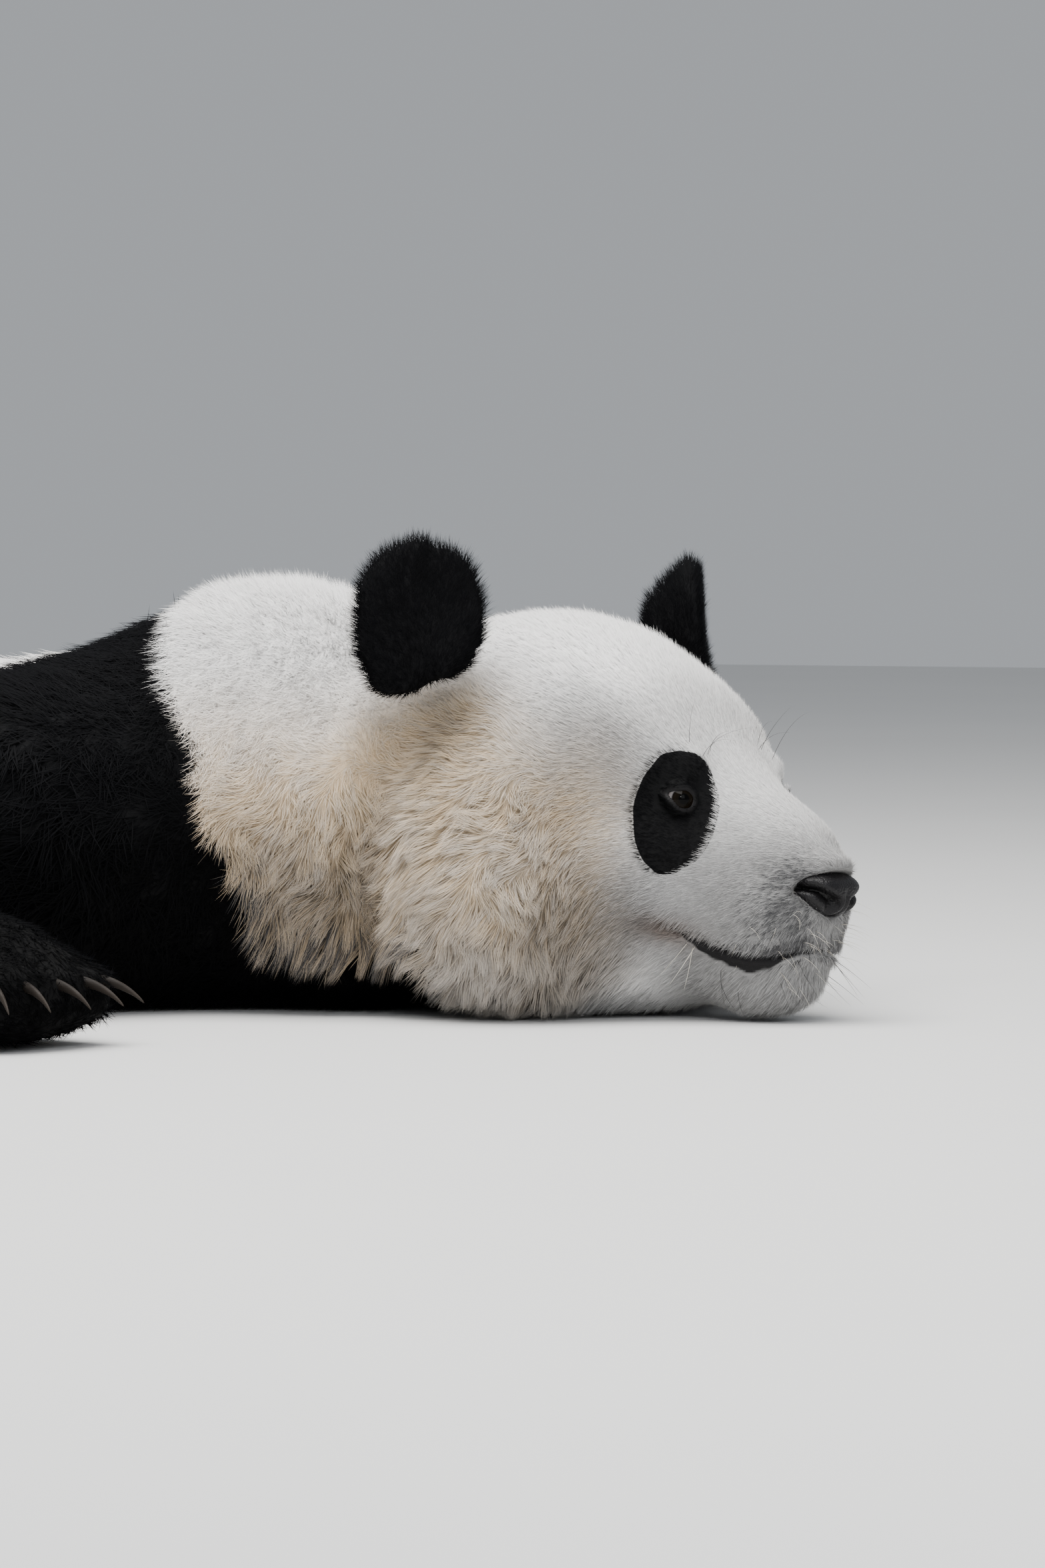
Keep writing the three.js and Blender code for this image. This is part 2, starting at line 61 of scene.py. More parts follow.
EYE = {"place": (147, 56, 149), "radius": 12.0, "cornea": 0.9}
EYE_OPENING = {"half_width": 9.0, "half_height": 6.6, "lid": 1.5, "tilt": 0.35}
GAZE = (0.80, 0.60, 0.02)
PATCH = {"place": (155, 65.5, 139), "long": 42.5, "short": 27, "tilt": 0.31}
LEFT_PATCH_OUT = 11.0  # how much further out the left patch is
BROW_HAIR = (160, 58, 161)  # white hair hangs over the edge of the left patch here
ROUND_EYE = 21.0  # the hair is black at least this near to the middle of the eyeball
NOSTRIL = {"outer": (30, 94), "inner": (10, 81), "outer_radius": 2.6, "inner_radius": 6.4, "depth": 9.0}
MOUTH_X = (150, 160, 173, 185, 198, 212, 225, 240)
MOUTH_Z = (63, 59, 54, 49, 46.5, 46, 49, 55)
CREASE = {"forward": -30, "low": 60, "high": 185, "depth": 20, "width": 15}
LEATHER = {"forward": 222, "height": 88.5, "half_width": 32, "half_height": 16}
NOSE_SIZE = {
    "deep": 28, "half_width": 30, "above": 15.5, "below": 16, "narrowing": 0.45, "bluntness": 2.8,
}
NOSE_TIP = (238, 0, 98)
SKIN_CELL = 8.0
THICKEN = 0.5  # closes the thin cuts between the solids
SKIN_OFF_FLOOR = 2.5
HAIR_OFF_FLOOR = 0.5
ROOT_DEPTH = 0.6  # of each tuft, under the skin

# Coat on each part of the body: depth of the coat, tuft length, tuft width, lift in radians,
# share of the pull towards a lock's tip, and tufts per square centimetre
COATS = {
    "ear": (4, 12, 0.56, 0.60, 0.05, 66),
    "neck": (9, 15, 0.60, 1.05, 0.25, 50),
    "shoulders": (12, 30, 1.35, 0.46, 0.22, 13.5),
    "trunk": (13, 35, 1.7, 0.43, 0.26, 6.4),
    "rump": (13, 38, 1.9, 0.46, 0.28, 5.2),
    "tail": (11, 46, 2.2, 0.45, 0.45, 11),
    "upper_arm": (12, 38, 2.2, 0.50, 0.40, 7.8),
    "forearm": (10, 34, 2.1, 0.48, 0.38, 8.5),
    "front_paw": (5, 16, 1.25, 0.38, 0.15, 12),
    "thigh": (13, 42, 2.4, 0.50, 0.40, 7.4),
    "shin": (9, 32, 2.2, 0.48, 0.40, 8.5),
    "hind_paw": (5, 16, 1.3, 0.38, 0.15, 10.5),
}
# The head's coat is graded between these places
HEAD_COATS = {
    "muzzle": (2.0, 7.2, 0.44, 0.46, 0.10, 108),
    "brow": (3.0, 9, 0.55, 0.62, 0.15, 62),
    "crown": (4.8, 10.5, 0.62, 0.80, 0.15, 42),
    "cheek": (9.5, 17, 0.62, 0.95, 0.55, 50),
    "chin": (3.0, 10, 0.60, 0.50, 0.25, 56),
}
COAT_SHARE = 1.0


# ---------- frames and small sums ----------

def unit(v):
    v = np.asarray(v, float)
    return v / np.maximum(np.linalg.norm(v, axis=-1, keepdims=True), 1e-12)


def step(value, low, high):
    """0 below low, 1 above high, smooth between."""
    t = np.clip((value - low) / (high - low), 0, 1)
    return t * t * (3 - 2 * t)


def span(value, start, full, last, end):
    """0 below start, 1 from full to last, 0 above end."""
    return step(value, start, full) * step(-value, -end, -last)


def bump(value, middle, width):
    return np.exp(-(((value - middle) / width) ** 2))


def middle_of(node):
    low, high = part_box(node)
    return np.array((low + high) / 2)


def head_frame():
    """The floor point under the ears, and the head's axes: forwards, to its left and up."""
    left, right = middle_of("eye_left"), middle_of("eye_right")
    side = unit(left - right)
    forward = unit(np.cross(side, (0, 0, 1)))
    axes = np.stack([forward, side, np.cross(forward, side)])
    return (left + right) / 2 - axes.T @ (np.array(EYE["place"]) * (1, 0, 1) * MM), axes


HEAD_ORIGIN, HEAD_AXES = head_frame()


def in_head(points):
    """Millimetres in the head's own frame."""
    return (np.asarray(points) - HEAD_ORIGIN) @ HEAD_AXES.T / MM


def on_head(points):
    """Forwards, out from the middle to either side, and up, in the head's own frame."""
    x, y, z = in_head(points).T
    return x, np.abs(y), z


def from_head(places):
    """Metres in the model's frame, from millimetres in the head's."""
    return HEAD_ORIGIN + np.asarray(places, float) * MM @ HEAD_AXES


def in_body(points):
    return (np.asarray(points) - HEAD_ORIGIN) / MM


def unevenness(points, size):
    """A smooth wandering value from -1 to 1 over space, for edges that aren't ruled."""
    p = np.asarray(points) / (size * MM)
    waves = [(1.0, 0.3, 0.7, 0.0), (-0.6, 1.1, 0.4, 1.3), (0.5, -0.8, 1.2, 2.9), (1.7, 1.3, -0.9, 4.1)]
    return sum(np.sin(p @ np.array(w[:3]) + w[3]) for w in waves) / len(waves)


# ---------- meshes ----------

def values_of(items, key, width, kind=float):
    """One value of every item of a mesh, with a row for each item."""
    values = np.empty(len(items) * width, kind)
    items.foreach_get(key, values)
    return values.reshape(-1, width)


def triangles_of(mesh, key="vertices"):
    mesh.calc_loop_triangles()
    return values_of(mesh.loop_triangles, key, 3, int)


def node_surface(node):
    """A node's points and triangles, with the points shared by its triangles merged."""
    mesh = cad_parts[node].data
    rounded = np.round(values_of(mesh.vertices, "co", 3), 6)
    merged, where = np.unique(rounded, axis=0, return_inverse=True)
    triangles = where.reshape(-1)[triangles_of(mesh)]
    return merged, triangles[np.all(triangles != np.roll(triangles, 1, axis=1), axis=1)]


def point_normals(points, triangles):
    a, b, c = (points[triangles[:, i]] for i in range(3))
    facing = np.cross(b - a, c - a)
    total = np.zeros_like(points)
    for i in range(3):
        for axis in range(3):
            total[:, axis] += np.bincount(triangles[:, i], facing[:, axis], len(points))
    return unit(total)


def joined(parts):
    """The points and the faces of several meshes, as one mesh's."""
    starts = np.cumsum([0] + [len(points) for points, _ in parts])
    faces = [tuple(int(v + start) for v in face) for (_, own), start in zip(parts, starts) for face in own]
    return np.concatenate([points for points, _ in parts]), faces


def linked(name, data):
    made = bpy.data.objects.new(name, data)
    bpy.context.scene.collection.objects.link(made)
    return made


def make_object(name, points, faces):
    mesh = bpy.data.meshes.new(name)
    mesh.from_pydata([tuple(p) for p in points], [], [tuple(map(int, f)) for f in faces])
    return linked(name, mesh)


def settled(made, kind, **settings):
    """The mesh that a modifier makes of an object, which goes."""
    modifier = made.modifiers.new(kind.lower(), kind)
    for key, value in settings.items():
        setattr(modifier, key, value)
    bpy.context.view_layer.update()
    graph = bpy.context.evaluated_depsgraph_get()
    mesh = bpy.data.meshes.new_from_object(made.evaluated_get(graph))
    bpy.data.objects.remove(made)
    return mesh


def outward_faces(mesh):
    bm = bmesh.new()
    bm.from_mesh(mesh)
    bmesh.ops.recalc_face_normals(bm, faces=bm.faces)
    bm.to_mesh(mesh)
    bm.free()


def add_point_values(mesh, name, values):
    layer = mesh.attributes.new(name, "FLOAT", "POINT")
    layer.data.foreach_set("value", np.ascontiguousarray(values, np.float32).ravel())


class Surface:
    """A mesh whose points can be averaged with their neighbours and moved."""

    def __init__(self, mesh):
        self.mesh = mesh
        self.read()

    def read(self):
        self.points = values_of(self.mesh.vertices, "co", 3)
        self.edges = values_of(self.mesh.edges, "vertices", 2, int)
        self.valence = np.maximum(np.bincount(self.edges.ravel(), minlength=len(self.points)), 1)

    def write(self):
        self.mesh.vertices.foreach_set("co", self.points.astype(np.float32).ravel())
        self.mesh.update()

    def normals(self):
        self.write()
        return values_of(self.mesh.vertex_normals, "vector", 3)

    def push(self, amount):
        """Moves each point inwards by its own amount, in millimetres."""
        self.points -= self.normals() * (amount * MM)[:, None]

    def average(self, values):
        flat = values.reshape(len(values), -1)
        total = np.empty_like(flat, dtype=float)
        a, b = self.edges.T
        for column in range(flat.shape[1]):
            v = flat[:, column]
            total[:, column] = np.bincount(a, v[b], len(v)) + np.bincount(b, v[a], len(v))
        return (total / self.valence[:, None]).reshape(values.shape)

    def smoothed(self, values, passes, amount=0.5):
        for _ in range(passes):
            values = values + (self.average(values) - values) * amount
        return values

    def relax(self, passes, amount):
        """Averages the places; amount may differ from point to point."""
        share = np.broadcast_to(np.asarray(amount, float), (len(self.points),))[:, None]
        for _ in range(passes):
            self.points += (self.average(self.points) - self.points) * share

    def fair(self, passes, amount):
        """Smooths without shrinking: each averaging is followed by a slightly greater undoing of it."""
        for _ in range(passes):
            self.relax(1, amount)
            self.relax(1, -1.04 * amount)

    def refine(self, chosen):
        """Splits each face whose corners are all chosen into four."""
        self.write()
        bm = bmesh.new()
        bm.from_mesh(self.mesh)
        faces = [f for f in bm.faces if all(chosen[v.index] for v in f.verts)]
        edges = list({e for f in faces for e in f.edges})
        bmesh.ops.subdivide_edges(bm, edges=edges, cuts=1, use_grid_fill=True)
        bm.to_mesh(self.mesh)
        bm.free()
        self.mesh.update()
        self.read()


# ---------- the skin ----------

def kind_of(node):
    """A node's name without its side."""
    return node.replace("_left", "").replace("_right", "")


def nearest_kinds(points, nodes):
    """For each point, the kind of the nearest node."""
    parts = [node_surface(node) for node in nodes]
    owner = [kind_of(node) for node, (_, triangles) in zip(nodes, parts) for _ in triangles]
    corners, triangles = joined(parts)
    tree = BVHTree.FromPolygons(corners.tolist(), triangles)
    return np.array([owner[tree.find_nearest(Vector(p))[2]] for p in points])


def below_ears(points):
    """The hollow under each ear, where the wool starts."""
    x, side, z = on_head(points)
    return bump(x, 5, 42) * bump(z, 192, 34) * step(side, 76, 116)


def head_coat(points):
    """The coat's sizes over the head, graded from muzzle to brow, crown, cheek and chin."""
    x, side, z = on_head(points)
    rows = {key: np.array(value, float) for key, value in HEAD_COATS.items()}
    cheek = step(192 - z, 0, 62) * step(140 - x, 0, 42) * step(side, 50, 95)
    low = step(80 - z, 0, 34) * step(146 - x, 0, 45)
    shares = {
        "cheek": np.maximum.reduce([cheek, low, below_ears(points)]),
        "brow": step(x - 34 * step(150 - z, 0, 40), 62, 128),
        "muzzle": step(x - 14 * step(105 - z, 0, 40), 128, 168),
        "chin": step(x, 120, 150) * step(52 - z, 0, 16),
    }
    graded = rows["crown"]
    for key, share in shares.items():
        graded = graded + (rows[key] - graded) * share[:, None]
    return graded


def coat_sizes(surface, kinds):
    sizes = np.array([COATS.get(kind, (0,) * 6) for kind in kinds], float)
    head = np.isin(kinds, HEAD_PARTS)
    sizes[head] = head_coat(surface.points[head])
    blended = surface.smoothed(sizes, 6)
    keep = surface.smoothed((head | (kinds == "ear")).astype(float), 2)[:, None]
    return blended + (surface.smoothed(sizes, 1) - blended) * keep


def sink(surface, depth, steps=6):
    """Moves the skin inwards by the coat's depth, a little at a time."""
    for _ in range(steps):
        surface.push(depth / steps)
        surface.fair(1, 0.35)


def shape_crease(surface):
    """The fold between the jowl and the neck."""
    x, side, z = on_head(surface.points)
    along = bump(x - 0.10 * (z - 130), CREASE["forward"], CREASE["width"])
    reach = span(z, CREASE["low"] - 40, CREASE["low"], CREASE["high"], CREASE["high"] + 20)
    surface.push(CREASE["depth"] * along * reach * step(side, 70, 120))


def mouth_offset(points):
    """Height above the line of the mouth, and how much of the mouth there is at each place."""
    x, side, z = on_head(points)
    return z - np.interp(x, MOUTH_X, MOUTH_Z), step(x, 143, 156) * step(-side, -82, -74)


def shape_mouth(surface):
    """The groove between the lips, the lips' own swelling, and the split below the nose."""
    height, present = mouth_offset(surface.points)
    groove = 4.2 * bump(height, -0.5, 2.0) - 1.8 * bump(height, -5.5, 3.0) - 1.2 * bump(height, 5.5, 4)
    x, side, z = on_head(surface.points)
    split = bump(side, 0, 2.0) * step(x, 222, 230) * span(z, 52, 58, 76, 82)
    surface.push(groove * present + 2.0 * split)


def gaze_axes(side):
    """Out along an eye's line of sight, across it and up."""
    out = unit(np.array(GAZE) * (1, side, 1))
    across = unit(np.cross((0, 0, 1), out))
    return out, across, np.cross(out, across)


def eye_places(points, side):
    """Across, up and out from the middle of an eye's opening, and the way from its middle."""
    out, across, up = gaze_axes(side)
    turn = EYE_OPENING["tilt"]
    along = across * side * math.cos(turn) + up * math.sin(turn)
    high = up * math.cos(turn) - across * side * math.sin(turn)
    offset = in_head(points) - np.array(EYE["place"]) * (1, side, 1)
    return offset @ along, offset @ high, offset @ out, offset


def opening_ratio(across, up):
    """1 on the rim of the lids; the corner towards the ear is drawn out to a point."""
    back = np.clip(across / EYE_OPENING["half_width"], 0, None)
    width = EYE_OPENING["half_width"] * (1 + 0.18 * back)
    height = EYE_OPENING["half_height"] * np.clip(1 - 0.30 * back, 0.3, 1)
    return np.hypot(across / width, up / height)


def shape_lids(surface):
    """Draws the skin over each eyeball as lids, with a fold above, and sinks it inside the opening."""
    for side in SIDES.values():
        across, up, out, offset = eye_places(surface.points, side)
        distance = np.maximum(np.linalg.norm(offset, axis=1), 1e-6)
        over = EYE["radius"] + EYE_OPENING["lid"]
        ratio = opening_ratio(across * over / distance, up * over / distance)
        fold = 1.3 * bump(ratio, 1.75, 0.16) * step(up, 0, 5)
        puff = 1.0 * bump(ratio, 1.38, 0.20)
        radius = over + puff - fold - (EYE_OPENING["lid"] + 1.9) * step(-ratio, -1.07, -0.93)
        share = step(-ratio, -3.3, -1.7) * step(out, -2, 4) * step(-distance, -30, -22)
        move = offset * ((radius / distance - 1) * share)[:, None]
        surface.points += move * MM @ HEAD_AXES


def leather_ratio(points):
    """1 on the edge of the bare leather of the nose, less on it."""
    x, side, z = on_head(points)
    drop = np.clip((LEATHER["height"] - z) / LEATHER["half_height"], 0, 1)
    half = LEATHER["half_width"] * (1 - 0.50 * drop)
    ratio = np.hypot(side / half, (z - LEATHER["height"]) / LEATHER["half_height"])
    return ratio + 3 * step(LEATHER["forward"] - x, 0, 6)


def raise_bridge(surface):
    """Fills out the ridge between the eyes, and the brow over each."""
    x, side, z = on_head(surface.points)
    ridge = 8.0 * bump(side, 0, 36) * bump(x, 152, 34) * step(z, 110, 135)
    brow = 7.8 * bump(side, 45, 10) * bump(x, 152, 19) * bump(z, 168, 18)
    surface.push(-ridge - brow)


def seat_nose(surface):
    """Sinks the skin under the leather of the nose, and lets it stand forward over its upper edge."""
    x, side, z = on_head(surface.points)
    amount = 15.0 * step(-leather_ratio(surface.points), -1.08, -0.80)
    amount -= 7.0 * bump(z, 110, 6) * bump(side, 0, 20) * step(x, 208, 222)
    surface.points -= (amount * MM)[:, None] * HEAD_AXES[0]


def fine_near_features(surface):
    """One more split round the eyes and along the mouth, where the skin has its smallest folds."""
    height, present = mouth_offset(surface.points)
    near = (np.abs(height) < 11) & (present > 0)
    for side in SIDES.values():
        across, up, out, _ = eye_places(surface.points, side)
        near |= (np.hypot(across, up) < 21) & (out > -2)
    surface.refine(near)


def rough_skin(nodes):
    """One closed skin of square cells round all these nodes, in metres."""
    parts = []
    for node in nodes:
        points, triangles = node_surface(node)
        parts.append((points + point_normals(points, triangles) * THICKEN * MM, triangles))
    rough = make_object("skin_rough", *joined(parts))
    mesh = settled(rough, "REMESH", mode="VOXEL", voxel_size=SKIN_CELL * MM, adaptivity=0)
    mesh.name = "skin"
    return mesh


def skin_surface(nodes):
    surface = Surface(rough_skin(nodes + ["nose", "eye_left", "eye_right"]))
    kinds = nearest_kinds(surface.points, nodes)
    surface.fair(16, 0.5)
    sink(surface, coat_sizes(surface, kinds)[:, 0])
    shape_crease(surface)
    surface.relax(2, 0.3)
    x, side, _ = on_head(surface.points)
    surface.refine((x > 70) & (side < 140))
    x, side, z = on_head(surface.points)
    surface.relax(4, 0.4 * step(x, 70, 90))
    x, side, z = on_head(surface.points)
    surface.refine((x > 118) & (side < 110) & (z < 190))
    surface.relax(3, 0.35 * step(on_head(surface.points)[0], 118, 130))
    for shape in (fine_near_features, raise_bridge, shape_mouth, seat_nose, shape_lids):
        shape(surface)
    surface.points[:, 2] = np.maximum(surface.points[:, 2], SKIN_OFF_FLOOR * MM)
    surface.write()
    return surface


# ---------- markings: 1 is black ----------

def patch_ratio(places):
    """1 on the edge of a black eye patch, less inside."""
    x, y, z = places.T
    forward, side, height = PATCH["place"]
    out = side + np.where(y > 0, LEFT_PATCH_OUT, 0.0) - np.abs(y)
    across, up, turn = (x - forward) * 0.54 + out * 0.84, z - height, PATCH["tilt"]
    along = up * math.cos(turn) + across * math.sin(turn)
    wide = across * math.cos(turn) - up * math.sin(turn)
    fuller = 1 + 0.10 * np.clip(along / PATCH["long"], -1, 1)
    patch = np.hypot(along / PATCH["long"], (wide + 2) / (PATCH["short"] * fuller))
    eye = np.linalg.norm(np.abs(places) - EYE["place"], axis=1)
    return np.minimum(patch, eye / ROUND_EYE)


def in_patch(points):
    places = in_head(points)
    ragged = patch_ratio(places) + 0.03 * unevenness(points, 4)
    ragged += 0.6 * bump(np.linalg.norm(places - BROW_HAIR, axis=1), 0, 7)
    return step(-ragged, -1.09, -0.95) * step(places[:, 0], 112, 120)


def behind_neck(points):
    """How far behind the neck's white hair a place is, in millimetres."""
    x, _, z = in_body(points).T
    edge = -266 + (290 - z) * 0.50 + 14 * np.sin(np.clip((290 - z) / 240, 0, 1) * math.pi)
    throat = 50 - z - 200 * step(x, -40, 0)
    return np.maximum(edge - x, throat) + 6 * unevenness(points, 22)


def behind_band(points):
    """How far behind the black band over the shoulders a place is, in millimetres."""
    x, y, z = in_body(points).T
    return -(x + 340) * 0.82 + (z - 255) * 0.58 + 8 * unevenness(points, 30) - 0.10 * np.abs(y)


def markings(surface, kinds):
    """The black share of every point of the skin."""
    limbs = surface.smoothed(np.isin(kinds, LEG_PARTS).astype(float), 22)
    limbs = step(limbs + 0.10 * unevenness(surface.points, 26), 0.40, 0.56)
    band = step(behind_neck(surface.points), -3, 5) * step(-behind_band(surface.points), -5, 5)
    band *= np.isin(kinds, ["shoulders", "neck", "trunk", "upper_arm", "head"])
    ears = step(surface.smoothed((kinds == "ear").astype(float), 3), 0.10, 0.35)
    return np.maximum.reduce([limbs, band, ears, in_patch(surface.points)])


def warmth(points):
    """Cream and tan in the wool of the cheeks and neck; the crown and the muzzle stay cool."""
    x, side, z = on_head(points)
    behind = in_body(points)[:, 0]
    cheek = span(x, -70, -25, 95, 160) * step(222 - z, 0, 90) * step(side, 45, 100)
    cheek = cheek * (1 - 0.35 * step(75 - z, 0, 60))
    neck = step(-x, 10, 50) * step(245 - z, 0, 130) * step(behind, -330, -250)
    body = 0.42 * step(-behind, 330, 480) * step(240 - z, -40, 140)
    wandering = 0.12 * unevenness(points, 45) + 0.12 * unevenness(points, 13)
    total = 0.85 * cheek + 0.95 * below_ears(points) + 0.90 * neck + body + wandering * (cheek + neck + body)
    return np.clip(total, 0, 1) * (1 - 0.90 * step(x, 112, 160))


def greyness(points):
    """Dark hairs among the pale: beside the nose, on the whisker pads and at the neck's lower edge."""
    x, side, z = on_head(points)
    nose = 0.46 * bump(x, 232, 18) * bump(side, 30, 17) * bump(z, 101, 12)
    pad = 0.80 * bump(x, 227, 30) * bump(side, 34, 26) * bump(z, 74, 26)
    muzzle = 0.16 * step(x, 150, 200) * step(150 - z, 0, 30)
    height, present = mouth_offset(points)
    rim = 0.40 * bump(height, 0, 8) * present
    jaw = 0.35 * step(30 - z, 0, 22) * span(x, -20, 40, 110, 160)
    edge = 0.62 * bump(behind_neck(points), -6, 20) * step(170 - in_body(points)[:, 2], 0, 90)
    return np.clip(nose + pad + muzzle + rim + jaw + edge, 0, 0.85)


def grey_and_painted_shade(points):
    """Where the white is darker: the cool grey of the muzzle's own hair, and painted shade under the jaw,
    below the eyes, under the ears, in the neck's fold and under the neck.
    """
    x, side, z = on_head(points)
    muzzle = 0.80 * step(x, 120, 175) * step(-z, -165, -95) + 0.48 * step(x, 100, 150)
    pads = 0.95 * bump(x, 226, 30) * bump(z, 76, 28)
    # painted shade: the shadow behind and below each eye patch
    below_eye_shade = 1.45 * bump(x, 116, 32) * bump(z, 62, 54) * step(side, 55, 90)
    # painted shade low on the jowls and under the jaw
    jowl = 0.68 * step(100 - z, 0, 80) * span(x, -20, 20, 90, 130)
    chin = 0.45 * step(58 - z, 0, 30) * step(x, 120, 150)
    # painted shade in the crease between the jowl and the neck
    fold = 0.75 * bump(x - 0.10 * (z - 130), CREASE["forward"] + 4, 16) * step(190 - z, 0, 60)
    behind, _, up = in_body(points).T
    # painted shade on the underside of the neck
    under_neck_shade = step(175 - up, 0, 95) * step(-x, 20, 50) * (0.3 + 1.05 * step(behind, -330, -250))
    temple = 0.95 * bump(x, 92, 48) * bump(z, 190, 50) * step(side, 55, 90)
    brow = 0.40 * bump(x, 125, 30) * step(z, 120, 150)
    cheek = 0.36 * span(x, -20, 10, 90, 120) * step(180 - z, 0, 50) * step(side, 55, 90)
    # the share under the ears is painted shade, where the ear shades the head
    head = muzzle + pads + below_eye_shade + jowl + chin + temple + brow + cheek + 0.6 * below_ears(points)
    return np.clip(head + fold + under_neck_shade, 0, 1.4)


def rust(points):
    """The brown stain at the corners of the mouth."""
    x, side, z = on_head(points)
    return 0.80 * bump(x - 0.6 * (62 - z), 151, 20) * bump(z, 61, 12) * step(side, 35, 50)


def bare_skin(points):
    """Where no hair grows: the lips and the rims of the eyes."""
    height, present = mouth_offset(points)
    low = 11.0 * span(on_head(points)[0], 149, 174, 202, 236) + 0.9 + 2.6 * unevenness(points, 4)
    lips = step(height + low, -0.8, 0.8) * step(-height, -2.4, -1.0) * present
    rims = np.zeros(len(points))
    for side in SIDES.values():
        across, up, out, _ = eye_places(points, side)
        rims = np.maximum(rims, step(-opening_ratio(across, up), -1.34, -1.14) * (out > 2))
    return np.maximum(lips, rims)


# ---------- the lie of the coat ----------

def chain_direction(points, side):
    """Down each leg from one joint's middle to the next, weighted by nearness."""
    lie = np.zeros_like(points)
    for chain in LEG_CHAINS:
        middles = [middle_of(f"{name}_{side}") for name in chain]
        ways = [unit(b - a) for a, b in zip(middles, middles[1:])]
        for middle, way in zip(middles, ways + ways[-1:]):
            near = bump(np.linalg.norm(points - middle, axis=1), 0, 0.09)
            lie += near[:, None] * way
    return lie


def face_lie(points):
    """Back from the nose over the face, down over the upper lip, and down the jowls."""
    x, side, z = on_head(points)
    places = in_head(points)
    height, present = mouth_offset(points)
    overhang = (bump(height, 5, 5) * present)[:, None]
    from_nose = unit((places - NOSE_TIP) * (1.0, 1.15, 1.0)) + (0, 0, -0.10) + overhang * (0, 0, -0.9)
    jowl = unit(np.stack([-0.40 + 0 * x, 0.10 * np.sign(places[:, 1]), -0.90 + 0 * x], 1))
    share = (step(150 - x, 0, 70) * step(205 - z, 0, 90) * step(side, 30, 90))[:, None]
    return (from_nose + (jowl - from_nose) * share) @ HEAD_AXES


def raw_lie(points, kinds):
    """Which way the hair points before it is laid along the skin."""
    lie = np.tile((-1.0, 0.0, -0.45), (len(points), 1))
    lie[kinds == "neck"] = (-0.50, 0.0, -0.87)
    lie[kinds == "tail"] = (-0.7, 0, -0.7)
    head = np.isin(kinds, HEAD_PARTS)
    lie[head] = face_lie(points)[head]
    for side, sign in SIDES.items():
        own = np.isin(kinds, LEG_PARTS) & (points[:, 1] * sign > 0)
        lie[own] = chain_direction(points[own], side) + (0, 0, -0.05)
        low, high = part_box(f"ear_{side}")
        root = ((low.x + high.x) / 2, (low.y + high.y) / 2 - sign * 0.010, low.z + 0.010)
        ear = (kinds == "ear") & (points[:, 1] * sign > HEAD_ORIGIN[1] * sign)
        lie[ear] = points[ear] - root
    return unit(lie)


def coat_lie(surface, kinds):
    """Which way the hair lies along the skin, and how squarely the skin faces that way."""
    normals = surface.normals()
    lie = raw_lie(surface.points, kinds)
    squarely = (lie * normals).sum(1)
    for _ in range(8):
        lie -= normals * (lie * normals).sum(1, keepdims=True)
        lie = unit(surface.smoothed(lie, 1, 0.5))
    return lie, squarely


def woolliness(points):
    x, side, z = on_head(points)
    cheek = step(120 - x, 0, 50) * step(204 - z, 0, 56) * step(side, 40, 95)
    neck = step(-x, 20, 60) * step(in_body(points)[:, 0], -330, -230) * (0.2 + 0.8 * step(235 - z, 0, 90))
    return np.clip(cheek + 0.75 * neck + below_ears(points), 0, 1)


def coat_fields(surface, kinds):
    """Everything that a tuft takes from the skin at its root."""
    points, normals, sizes = surface.points, surface.normals(), coat_sizes(surface, kinds)
    _, size_long, size_wide, size_lift, size_gather, size_density = sizes.T
    wool, black, bare = woolliness(points), markings(surface, kinds), bare_skin(points)
    lie, squarely = coat_lie(surface, kinds)
    body = in_body(points)
    forward = on_head(points)[0]
    height, present = mouth_offset(points)
    inner = np.isin(kinds, HEAD_PARTS) * step(black, 0.3, 0.7)
    fringe = bump(behind_neck(points), -9, 13) * step(118 - body[:, 2], 0, 50) * step(-body[:, 0], -20, 20)
    meeting = bump(behind_neck(points), -4, 14) * (1 - fringe)
    shag = wool * step(235 - body[:, 2], 0, 130) * (black < 0.5)
    lip = bump(height, 4, 4) * present * (forward > 150)
    length = size_long * (1 - inner * 0.3) + inner * 1.0 + 3.2 * lip
    length = length * (1 + 0.9 * fringe + 0.40 * shag)
    standing = (kinds == "ear") * step(squarely, 0.25, 0.85)
    lift = size_lift * (1 - 0.35 * inner) * (1 + 0.15 * fringe) * (1 - 0.4 * meeting) + 0.85 * standing
    density = size_density * (1 + 0.25 * inner) * (bare < 0.4) * (leather_ratio(points) > 1.0)
    underneath = (points[:, 2] < 8 * MM) & (normals[:, 2] < -0.6)
    return {
        "normal": normals, "lie": lie, "length": length, "lift": lift,
        "width": size_wide * (1 + 0.2 * shag) * (1 - 0.15 * inner),
        "gather": (size_gather + 0.2 * fringe + 0.15 * shag) * (1 - 0.6 * meeting),
        "density": np.where(underneath, density * 0.25, density),
        "lock": np.clip(length * 0.28 + 1.8 * shag, 2.5, 14),
        "curl": (0.15 + 0.85 * wool) * (1 - 0.6 * fringe),
        "ruffle": 0.14 + 0.45 * step(50 - forward, 0, 60) * step(body[:, 0], -330, -260) * (1 - shag),
        "black": black, "warm": warmth(points), "grey": greyness(points),
        "dull": grey_and_painted_shade(points), "rust": rust(points), "bare": bare,
    }


# ---------- tufts ----------

